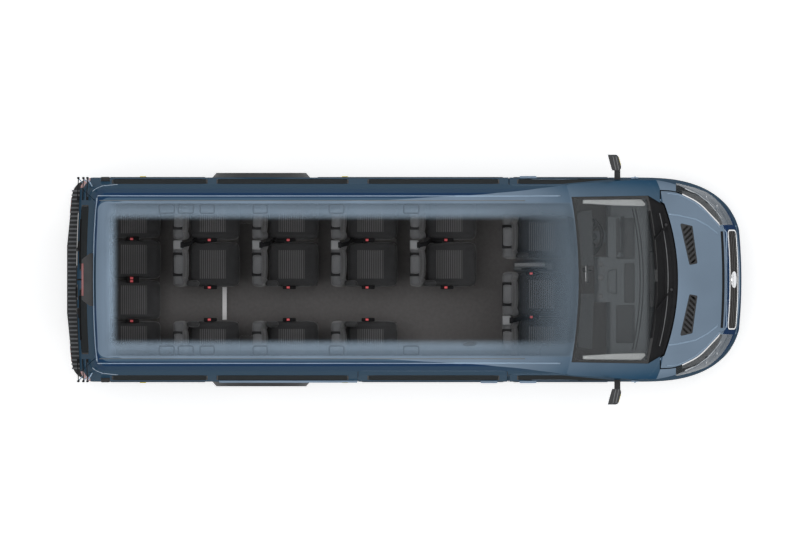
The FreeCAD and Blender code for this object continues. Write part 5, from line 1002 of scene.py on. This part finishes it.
def make_belts():
    for row in range(LEFT_ROWS):
        x = FIRST_ROW_X + row * ROW_PITCH
        floor_z = REAR_FLOOR_Z if row == 0 else FLOOR_Z
        z = floor_z + BUCKLE_RISE
        buckle(f"left_{row + 1}_middle", x - 0.305, LEFT_DOUBLE_Y + 0.011, z)
        buckle(f"left_{row + 1}_aisle", x - 0.305, -0.078, z)
        belt(f"left_{row + 1}", x, 0.345, LEFT_DOUBLE_Y + 0.004, floor_z)
        armrest(f"left_{row + 1}", x, -0.074, 1, floor_z)
        if row < RIGHT_ROWS:
            buckle(f"right_{row + 1}_aisle", x - 0.305, -0.398, z)
            armrest(f"right_{row + 1}", x, -0.4065, -1, floor_z)
    z = REAR_FLOOR_Z + BUCKLE_RISE
    for i, (y, count) in enumerate(((0.404, 1), (0.0, 2), (-0.411, 1))):
        buckle(f"rear_{i + 1}", REAR_ROW_X - 0.293, y, z, count)
    z = FLOOR_Z + BUCKLE_RISE
    buckle("front_middle", 1.262, -0.372, z)
    buckle("driver", 1.262, 0.061, z)
    belt("front", FRONT_SEAT_X, -0.405, -0.385, FLOOR_Z)
    armrest("driver", FRONT_SEAT_X, DRIVER_Y - SEAT_WIDTH / 2, 1, FLOOR_Z)


def armrest(name, x, edge_y, inwards, floor_z):
    """An armrest folded up beside the seat's back."""
    block(f"armrest_{name}", (x - 0.530, edge_y + inwards * 0.006, floor_z + 0.44),
          (x - 0.402, edge_y + inwards * 0.066, floor_z + 0.74), "seat", BODY, "seat_fabric", 0.028, 4)


def window_outline(name, plane, keep=lambda v: True):
    """The outline of a convex window, from its own corners, in the given plane."""
    a, b = plane
    points = sorted({(round(v.co[a], 4), round(v.co[b], 4)) for v in nodes[name].data.vertices if keep(v.co)})

    def chain(ordered):
        kept = []
        for p in ordered:
            while len(kept) > 1 and (kept[-1][0] - kept[-2][0]) * (p[1] - kept[-2][1]) - (
                kept[-1][1] - kept[-2][1]
            ) * (p[0] - kept[-2][0]) <= 0:
                kept.pop()
            kept.append(p)
        return kept[:-1]

    return chain(points) + chain(points[::-1])


def make_seals():
    """Rubber seals round every window."""
    spans = ((-2.95, -1.90), (-1.90, -0.45), (-0.45, 1.0))
    for side, sign in SIDES:
        door = DOORS[side]
        skin = Skin(side, f"side_{side}", "side_windows")
        for i, (low, high) in enumerate(spans):
            outline = window_outline("side_windows", (0, 2), lambda v: low < v.x < high and v.y * sign > 0)
            if len(outline) > 4:
                ribbon(f"window_seal_{side}_{i + 1}", skin, outline, 0.016, 0.004, *SEAL_TRIM, closed=True)
        skin = Skin(side, f"front_door_{side}", f"front_door_{side}_window")
        outline = window_outline(f"front_door_{side}_window", (0, 2))
        ribbon(f"door_window_seal_{side}", skin, outline, 0.016, 0.003, "seal", door, "black_trim", closed=True)
        rear = REAR_DOORS[side]
        skin = Skin("rear", f"rear_door_{side}", f"rear_door_{side}_window")
        outline = window_outline(f"rear_door_{side}_window", (1, 2))
        ribbon(f"rear_window_seal_{side}", skin, outline, 0.018, 0.004, "seal", rear, "black_trim", closed=True)
    skin = Skin("right", "slide_door", "slide_door_window")
    outline = window_outline("slide_door_window", (0, 2))
    ribbon("slide_window_seal", skin, outline, 0.016, 0.004, *SEAL_TRIM, closed=True)


def mirrored_path(points, sign):
    return [(u, v * sign) for u, v in points]


def make_roof_details():
    skin = Skin("top", "roof", "side_left", "side_right", "slide_door")
    under = Skin("below", "roof")
    boxes = ((-2.435, -2.286), (-2.246, -2.097), (-2.028, -1.889), (-1.501, -1.362), (-0.745, -0.600), (-0.005, 0.145))
    for side, sign in SIDES:
        # Painted highlights: the rail and rear-corner ribbons are lighter blue where light catches the roof's shoulder
        # and corners
        rail = [(-3.045, 0.832), (-2.0, 0.830), (1.20, 0.830), (1.55, 0.832)]
        ribbon(f"roof_rail_highlight_{side}", skin, mirrored_path(rail, sign), 0.015, 0.0045, *ROOF_HIGHLIGHT)
        rail = [(-3.03, 0.786), (1.20, 0.786)]
        ribbon(f"roof_bead_{side}", skin, mirrored_path(rail, sign), 0.010, 0.003, "dash_light", BODY, "roof_paint")
        corner = [(-3.095, 0.880), (-3.06, 0.905), (-3.00, 0.930), (-2.85, 0.945)]
        ribbon(f"corner_highlight_{side}", skin, mirrored_path(corner, sign), 0.022, 0.003, *ROOF_HIGHLIGHT)
        for i, (low, high) in enumerate(boxes):
            outline = [(u, v * sign) for u, v in rounded(low, high, 0.66, 0.745, 0.015, 2)]
            ribbon(f"ceiling_frame_{side}_{i + 1}", under, outline, 0.013, 0.006, "seal", BODY, "dash_plastic",
                   closed=True, step=0.05)
    # Painted highlight: a lighter blue ribbon along the roof's rear edge
    edge = [(-3.052, 0.81), (-3.068, 0.66), (-3.080, 0.45), (-3.086, 0.22), (-3.088, 0.0)]
    edge += [(x, -y) for x, y in edge[-2::-1]]
    ribbon("roof_rear_edge_highlight", skin, edge, 0.020, 0.005, *ROOF_HIGHLIGHT)
    housing = [(-3.075, 0.262), (-3.125, 0.262), (-3.205, 0.200), (-3.205, -0.200), (-3.125, -0.262), (-3.075, -0.262)]
    slab("brake_light_housing", housing, 2.545, 2.592, *BLACK_TRIM, 0.010)
    strip = [(-3.188, 0.160), (-3.2085, 0.160), (-3.2085, -0.160), (-3.188, -0.160)]
    slab("brake_light_lens", strip, 2.552, 2.5945, "red_dull", BODY, "red_lens", 0.002)
    grab = [(0.575, -0.650), (0.600, -0.628), (0.660, -0.618), (0.700, -0.622), (0.722, -0.640), (0.690, -0.660),
            (0.62, -0.665)]
    panel("ceiling_lamp", under, grab, 0.030, *BLACK_TRIM, step=0.02)


def make_cab():
    glass_skin = Skin("top", "windscreen")
    for side, sign in SIDES:
        # Painted highlight: near-white panels under the windscreen's ends stand in for the bright reflections there
        trim = [(1.79, 0.795), (2.36, 0.800), (2.405, 0.755), (2.395, 0.735), (2.13, 0.740), (1.79, 0.762)]
        panel(f"pillar_painted_highlight_{side}", glass_skin, mirrored_path(trim, sign), -0.008, "white_painted_highlight", BODY,
              "dash_plastic", sink=0.026)
        visor = mirrored_path([(1.765, 0.14), (1.76, 0.68), (1.90, 0.70), (1.92, 0.14)], sign)
        panel(f"sun_visor_{side}", glass_skin, visor, -0.050, *DARK_PLASTIC, sink=0.066)
        blade, arm = WIPERS[side]
        screen = Skin("top", "windscreen", "cowl")
        ribbon(f"wiper_blade_{side}", screen, blade, 0.016, 0.020, *SEAL_TRIM, sink=-0.002)
        ribbon(f"wiper_arm_{side}", screen, arm, 0.014, 0.034, *SEAL_TRIM, sink=-0.012)
        lathe(f"wiper_pivot_{side}", knob(0.016, 0.010, -0.02, 0.034, 0.042), screen.at(*arm[0])[0], (0, 0, 1),
              *BLACK_TRIM, 20)
    tray = [(2.30, 0.70), (2.30, -0.70), (2.72, -0.60), (2.76, 0.0), (2.72, 0.60)]
    slab("scuttle_tray", tray, 0.900, 0.915, *SEAL_TRIM)
    cowl = Skin("top", "cowl")
    for i, share in enumerate((0.30, 0.55, 0.82)):
        line = []
        for k in range(23):
            y = k * 0.06 - 0.66
            rear, front = 2.522 - 0.136 * y * y, 2.705 - 0.25 * y * y
            line.append((rear + (front - rear) * share, y))
        ribbon(f"cowl_rib_{i + 1}", cowl, line, 0.009, 0.005, "grey_plastic" if i == 1 else "seal", BODY, "black_trim")
    dash = Skin("top", "dashboard")
    for i, (x0, x1, y0, y1) in enumerate(((2.105, 2.290, 0.205, 0.612), (2.105, 2.290, -0.630, -0.2525),
                                          (2.185, 2.290, -0.232, 0.165))):
        panel(f"dash_tray_{i + 1}", dash, rounded(x0, x1, y0, y1, 0.02, 3), 0.004, *DARK_PLASTIC)
    lid = [(2.025, 0.085), (2.025, -0.125), (2.110, -0.145), (2.110, 0.105)]
    panel("dash_lid", dash, lid, 0.008, "dash_light", BODY, "dash_plastic")
    ribbon("dash_lid_seam", dash, lid, 0.005, 0.010, *SEAL_TRIM, closed=True)
    for i, x in enumerate((2.345, 2.375)):
        line = [(x - 0.10 * (y / 0.8) ** 2, y) for y in [k * 0.1 - 0.7 for k in range(15)]]
        ribbon(f"defroster_{i + 1}", dash, line, 0.008, 0.003, *SEAL_TRIM)
    for i, (y, radius) in enumerate(((0.150, 0.022), (0.020, 0.030), (-0.165, 0.022))):
        hit = dash.at(1.955, y)
        if hit:
            lathe(f"dash_knob_{i + 1}", knob(radius, radius * 0.8, -0.01, 0.014, 0.02), *hit, *GREY_PLASTIC, 24)
    switches = ((1.925, 0.10, 0.20), (1.925, -0.22, -0.12), (1.905, -0.05, 0.08), (1.985, 0.07, 0.14))
    for i, (x, y0, y1) in enumerate(switches):
        if dash.at(x, (y0 + y1) / 2):
            ribbon(f"dash_switches_{i + 1}", dash, [(x, y0), (x, y1)], 0.010, 0.004, *GREY_PLASTIC)
    head = glass_skin.at(1.87, 0.09)[0]
    stem = [head + Vector(step) for step in ((0, 0, -0.004), (-0.02, 0, -0.03), (-0.045, 0, -0.075))]
    tube("mirror_stem", stem, 0.009, *BLACK_TRIM)
    block("cabin_mirror", (head.x - 0.065, head.y - 0.125, head.z - 0.115),
          (head.x - 0.035, head.y + 0.125, head.z - 0.050), *BLACK_TRIM, 0.012, 4)
    block("cabin_mirror_glass", (head.x - 0.068, head.y - 0.113, head.z - 0.108),
          (head.x - 0.060, head.y + 0.113, head.z - 0.057), "mirror", BODY, "wheel_silver", 0.003)
    block("console", (1.085, 0.085, FLOOR_Z), (1.480, 0.175, 1.075), *DARK_PLASTIC, 0.015)
    block("console_lid", (1.095, 0.128, 1.07), (1.400, 0.170, 1.110), *GREY_PLASTIC, 0.010)
    tube("handbrake", [(1.16, 0.105, 1.06), (1.24, 0.105, 1.105), (1.42, 0.105, 1.155)], 0.013, *SEAL_TRIM)
    lever = [(0.0, -0.13), (0.008, -0.13), (0.009, 0.0), (0.024, 0.010), (0.026, 0.03), (0.014, 0.044), (0.0, 0.046)]
    lathe("gear_knob", lever, (1.80, 0.10, 1.10), (-0.2, 0, 1), *SEAL_TRIM, 20)


def knob(radius, top_radius, base, edge, top):
    """The profile of a turned knob with a bevelled top."""
    return [(0.0, base), (radius, base), (radius, edge), (top_radius, top), (0.0, top)]


def bowed_line(x, bow, half):
    """A line across the vehicle that falls back from x towards its ends."""
    ys = [k * LINE_STEP - half for k in range(round(half * 2 / LINE_STEP) + 1)]
    return [(x - bow * y * y, y) for y in ys]


def make_nose():
    bonnet = Skin("top", "bonnet")
    front = Skin("front", "grille", "front_panel")
    bumper = Skin("front", "front_bumper")
    for side, sign in SIDES:
        # Painted highlights: the raised crease and lip ribbons are lighter blue where light catches the bonnet's edges
        crease = [(3.120, 0.455), (3.02, 0.535), (2.90, 0.60), (2.72, 0.640), (2.60, 0.655)]
        ribbon(f"bonnet_crease_{side}", bonnet, mirrored_path(crease, sign), 0.016, 0.0035, *BONNET_HIGHLIGHT,
               sink=0.002)
        lip = [(2.61, 0.856), (2.72, 0.846), (2.80, 0.813), (2.90, 0.757), (3.00, 0.672), (3.08, 0.586), (3.14, 0.514)]
        ribbon(f"bonnet_lip_highlight_{side}", bonnet, mirrored_path(lip, sign), 0.010, 0.003, *BONNET_HIGHLIGHT,
               sink=0.002)
        # Painted shade: a closed black box under each vent keeps its slots as dark as the shade inside them
        corners = [bonnet.at(x, y * sign)[0] for x, y in ((2.735, 0.19), (2.925, 0.19), (2.925, 0.60), (2.735, 0.60))]
        vertices = [c - Vector((0, 0, drop)) for drop in (0.034, 0.026) for c in corners]
        faces = [(3, 2, 1, 0), (4, 5, 6, 7), (0, 1, 5, 4), (1, 2, 6, 5), (2, 3, 7, 6), (3, 0, 4, 7)]
        mesh_piece(f"vent_shade_box_{side}", vertices, faces, "grille", BONNET)
        door = DOORS[side]
        skin = Skin("top", f"front_door_{side}")
        ribbon(f"window_rail_{side}", skin, mirrored_path([(1.20, 0.931), (1.58, 0.931)], sign), 0.008, 0.004,
               "bright_dull", door, "wheel_silver")
        lamp = Skin("front", "headlamps")
        for i, (y, z, radius) in enumerate(((0.700, 0.925, 0.048), (0.800, 0.960, 0.040))):
            hit = lamp.at(y * sign, z)
            if hit:
                aim = (Vector((1, 0, 0)) + hit[1]).normalized()
                rim = hit[0] - aim * 0.016
                bowl = [(0.0, -0.030), (radius * 0.55, -0.026), (radius * 0.9, -0.012), (radius, 0.0),
                        (radius + 0.004, -0.002), (radius * 0.92, -0.018), (radius * 0.5, -0.034), (0.0, -0.036)]
                lathe(f"lamp_bowl_{side}_{i + 1}", bowl, rim, aim, "reflector", BODY, "wheel_silver", 36)
                lens = [(0.0, -0.028), (radius * 0.45, -0.026), (radius * 0.40, -0.014), (radius * 0.2, -0.006),
                        (0.0, -0.004)]
                lathe(f"lamp_lens_{side}_{i + 1}", lens, rim, aim, "dash_dark", BODY, "lamp_glass", 28)
        top = Skin("top", "headlamps")
        # Painted highlight: a bright strip along the headlamps' inner edge where light catches it
        line = [(2.79, 0.905), (2.92, 0.848), (3.02, 0.770), (3.10, 0.680), (3.15, 0.610)]
        ribbon(f"lamp_edge_highlight_{side}", top, mirrored_path(line, sign), 0.010, 0.003, *BRIGHT_LINE, sink=0.001)
        fog = bumper.at(0.73 * sign, 0.46)
        if fog:
            lathe(f"fog_lamp_{side}", [(0.0, -0.01), (0.062, -0.01), (0.062, 0.006), (0.052, 0.008), (0.046, 0.002),
                  (0.030, 0.006), (0.0, 0.008)], *fog, "reflector", BODY, "lamp_glass", 36)
    # Painted shade: a black strip along the bonnet's front edge for the dark gap between bonnet and grille
    ribbon("bonnet_front_shade_strip", bonnet, bowed_line(3.172, 0.07, 0.48), 0.026, 0.004, "seal", BONNET, "black_trim",
           sink=0.001)
    outline = rounded(-0.49, 0.49, 0.757, 0.972, 0.045)
    ribbon("grille_frame", front, outline, 0.014, 0.006, *CHROME, closed=True)
    badge = [(0.0, -0.03), (0.082, -0.03), (0.084, 0.006), (0.076, 0.012), (0.070, 0.006), (0.0, 0.009)]
    lathe("grille_badge_blank", badge, (3.276, 0, 0.868), (1, 0, 0.25), *CHROME, 48)
    top = Skin("top", "front_panel")
    ribbon("nose_trim", top, bowed_line(3.190, 0.12, 0.48), 0.010, 0.004, *BRIGHT_LINE)
    panel("front_plate_holder", bumper, rounded(-0.275, 0.275, 0.418, 0.533, 0.01, 2), 0.004, *BLACK_TRIM, step=0.05)
    panel("front_plate_blank", bumper, rounded(-0.26, 0.26, 0.425, 0.526, 0.008, 2), 0.008, "plate", BODY,
          "strip_white", sink=0.0, step=0.05)
    # A raised crease on the bumper, painted lighter blue as a highlight
    ribbon("bumper_crease", Skin("top", "front_bumper"), bowed_line(3.322, 0.13, 0.54), 0.030, 0.003,
           "blue_painted_highlight", BODY, "blue_paint", sink=0.001)
    ribbon("bumper_lip", bumper, [(k * 0.08 - 0.84, 0.315) for k in range(22)], 0.045, 0.006, *BLACK_TRIM)


def rub_strip(name, skin, rear_x, front_x, body=BODY):
    path = [(rear_x, RUB_STRIP_Z), (front_x, RUB_STRIP_Z)]
    ribbon(f"rub_strip_{name}", skin, path, 0.055, 0.006, "black", body, "black_trim")


def make_sides():
    for side, sign in SIDES:
        body = Skin(side, f"side_{side}")
        door = DOORS[side]
        door_skin = Skin(side, f"front_door_{side}")
        rub_strip(f"rear_{side}", body, -2.92, -1.98)
        rub_strip(side, body, -0.86, 0.98 if sign > 0 else -0.50)
        rub_strip(f"door_{side}", door_skin, 1.085, 2.02, door)
        hit = door_skin.at(1.379, 0.64)
        if hit:
            y = hit[0].y
            block(f"door_marker_{side}", (1.348, y - sign * 0.004, 0.628), (1.410, y + sign * 0.007, 0.652),
                  "amber", door, "amber_lens", 0.003)
        mirror = Skin("rear", f"mirror_{side}")
        outline = rounded(min(1.095 * sign, 1.228 * sign), max(1.095 * sign, 1.228 * sign), 1.30, 1.605, 0.025)
        panel(f"mirror_glass_{side}", mirror, outline, 0.002, "mirror", door, "wheel_silver", sink=0.004)
        mirror = Skin("top", f"mirror_{side}")
        for i, x in enumerate((2.075, 2.105)):
            path = mirrored_path([(x + 0.028, 1.09), (x, 1.225)], sign)
            if mirror.at(*path[0]) and mirror.at(*path[1]):
                ribbon(f"mirror_rib_{side}_{i + 1}", mirror, path, 0.008, 0.003, "grey_plastic", door, "black_trim")
        mirror = Skin("front", f"mirror_{side}")
        path = [(1.14 * sign, 1.475), (1.222 * sign, 1.475)]
        ribbon(f"mirror_signal_{side}", mirror, path, 0.022, 0.003, "amber", door, "amber_lens")
        cap = body.at(-2.972, 1.62)
        if cap:
            y = cap[0].y
            block(f"hinge_cap_{side}", (-3.015, y - sign * 0.012, 1.58), (-2.925, sign * 1.022, 1.66), *BLACK_TRIM,
                  0.010)
    rub_strip("slide", Skin("right", "slide_door"), -0.42, 0.985)
    skin = Skin("left", "side_left")
    ribbon("fuel_flap_seam", skin, rounded(0.74, 0.92, 0.98, 1.14, 0.03), 0.006, 0.002, *SEAL_TRIM, closed=True)


def make_rear():
    for side, sign in SIDES:
        body = REAR_DOORS[side]
        skin = Skin("rear", f"rear_door_{side}", f"rear_door_{side}_window")
        blade = [(0.16 * sign, 1.345), (0.42 * sign, 1.335), (0.60 * sign, 1.330)]
        ribbon(f"rear_wiper_{side}", skin, blade, 0.016, 0.016, "seal", body, "black_trim", sink=-0.001)
        arm = [(0.30 * sign, 1.215), (0.34 * sign, 1.30), (0.38 * sign, 1.337)]
        ribbon(f"rear_wiper_arm_{side}", skin, arm, 0.014, 0.024, "seal", body, "black_trim", sink=-0.008)
        pivot = skin.at(*arm[0])
        lathe(f"rear_wiper_pivot_{side}", knob(0.020, 0.012, -0.005, 0.022, 0.030), *pivot, "black", body,
              "black_trim", 20)
    skin = Skin("rear", "rear_door_right")
    panel("door_handle_plate", skin, rounded(-0.20, -0.05, 1.02, 1.10, 0.015), 0.006, "black", RIGHT_REAR, "black_trim")
    ribbon("door_pull", skin, [(-0.175, 1.055), (-0.075, 1.055)], 0.024, 0.024, "seal", RIGHT_REAR, "black_trim",
           sink=0.001)
    skin = Skin("rear", "rear_door_left")
    panel("rear_plate_holder", skin, rounded(0.12, 0.68, 0.86, 0.995, 0.012, 2), 0.006, "black", LEFT_REAR,
          "black_trim", step=0.05)
    panel("rear_plate_blank", skin, rounded(0.14, 0.66, 0.872, 0.983, 0.008, 2), 0.010, "plate", LEFT_REAR,
          "strip_white", sink=0.0, step=0.05)
    tread = [(-3.318, 0.36), (-3.304, 0.65), (-3.272, 0.84), (-3.20, 0.90), (-3.20, -0.90), (-3.272, -0.84),
             (-3.304, -0.65), (-3.318, -0.36)]
    slab("rear_step_tread", tread, 0.545, 0.584, *BLACK_TRIM)
    vertices, faces = [], []
    for i in range(43):
        y = (i - 21) * 0.042
        x = -3.344 + 0.042 * abs(y / 0.9) ** 2.2
        start = len(vertices)
        vertices += [(a, b, c) for a in (x, x + 0.082) for b in (y - 0.008, y + 0.008) for c in (0.582, 0.5945)]
        faces += [tuple(start + k for k in face) for face in BOX_FACES]
    mesh_piece("rear_step_ribs", vertices, faces, "grey_plastic", BODY)
    back = Skin("rear", "rear_bumper")
    for side, sign in SIDES:
        outline = [(sign * y, z) for y, z in ((0.66, 0.43), (0.82, 0.43), (0.82, 0.475), (0.66, 0.475))]
        panel(f"reflector_{side}", back, outline, 0.005, "red", BODY, "red_lens")


def tyre_mesh(centre_x, centre_y):
    """A tyre with tread blocks, shoulders and beads."""
    half = TYRE_HALF
    section = [(-0.076, 0.206), (-0.088, 0.216), (-half, 0.256), (-half, 0.284), (-0.0955, 0.288), (-0.0955, 0.296),
               (-0.0945, 0.312), (-0.088, 0.332), (-0.080, 0.3405), (-0.076, 0.3440)]
    tread = [(-0.054, 0), (-0.050, 1), (-0.044, 1), (-0.040, 0), (-0.008, 0), (-0.004, 1)]
    section += [(y, TYRE_RADIUS - 0.0008 - 0.008 * low - 14.0 * y**4 * 8) for y, low in tread]
    section += [(-y, r) for y, r in reversed(section)]
    shares = (0.0, 0.13, 0.19, 0.93)
    vertices, rings = [], []
    for block_index in range(TREAD_BLOCKS):
        for k, share in enumerate(shares):
            angle = 2 * math.pi * (block_index + share) / TREAD_BLOCKS
            start = len(vertices)
            for y, radius in section:
                shoulder = abs(y) > SHOULDER_Y and radius > SHOULDER_RADIUS
                if k < 2 and (LUG_EDGE > abs(y) > RIB_EDGE or shoulder):
                    radius -= GAP_DEPTH
                if k < 2 and RIB_EDGE > abs(y) and radius > CROWN_RADIUS:
                    radius -= SLIT_DEPTH
                x, z = radius * math.cos(angle), radius * math.sin(angle)
                vertices.append((centre_x + x, centre_y + y, TYRE_RADIUS + z))
            rings.append(list(range(start, len(vertices))))
    rings.append(rings[0])
    return vertices, loft(rings, caps=False)


def make_wheels():
    for end, axle_x, rows, body_end, stud_circle in WHEELS:
        for side, sign in SIDES:
            body = f"{side}_{body_end}"
            node = f"tyre_{end}_{side}"
            for i, y in enumerate(rows):
                vertices, faces = tyre_mesh(axle_x, sign * y)
                piece = smooth(mesh_piece(f"{node}_tread_{i + 1}", vertices, faces, "rubber", body))
                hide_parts(node)
            disc = Skin(side, f"rim_{end}_{side}")
            for i in range(6):
                angle = math.pi * (i + 0.5) / 3
                u, v = axle_x + stud_circle * math.cos(angle), TYRE_RADIUS + stud_circle * math.sin(angle)
                hit = disc.at(u, v)
                if hit:
                    lathe(f"wheel_nut_{end}_{side}_{i + 1}", knob(0.0135, 0.009, -0.004, 0.012, 0.018), hit[0],
                          (0, sign, 0), "steel", body, "wheel_silver", 6)
            hub = disc.at(axle_x, TYRE_RADIUS)
            if hub:
                lathe(f"hub_cap_{end}_{side}", knob(0.046, 0.038, -0.006, 0.002, 0.006), hub[0], (0, sign, 0), "black",
                      body, "black_trim", 32)


def make_stage():
    """A plain white ground that keeps the object's shadow."""
    size = 30.0
    data = bpy.data.meshes.new("ground")
    data.from_pydata([(-size, -size, 0), (size, -size, 0), (size, size, 0), (-size, size, 0)], [], [(0, 1, 2, 3)])
    shader = Shader("ground_white")
    shader.colour(shader.ramp(shader.noise(0.5, 1.0), [(0.80, 0.80, 0.80), (0.82, 0.82, 0.82)]))
    shader.set(Roughness=1.0, Specular_IOR_Level=0.0)
    glow = shader.node("ShaderNodeEmission")
    shader.link(shader.math("MULTIPLY", seen_directly(shader.tree), 0.55), glow.inputs["Strength"])
    both = shader.node("ShaderNodeAddShader")
    shader.link(shader.surface.outputs[0], both.inputs[0])
    shader.link(glow.outputs[0], both.inputs[1])
    shader.link(both.outputs[0], shader.tree.nodes["Material Output"].inputs["Surface"])
    data.materials.append(shader.material)
    obj = collection_add(bpy.data.objects.new("ground", data))
    obj.location.z = -0.002


set_up_camera()
set_up_lights()
finish_nodes()
make_stage()
make_seats()
make_belts()
make_seals()
make_roof_details()
make_cab()
make_nose()
make_sides()
make_rear()
make_wheels()
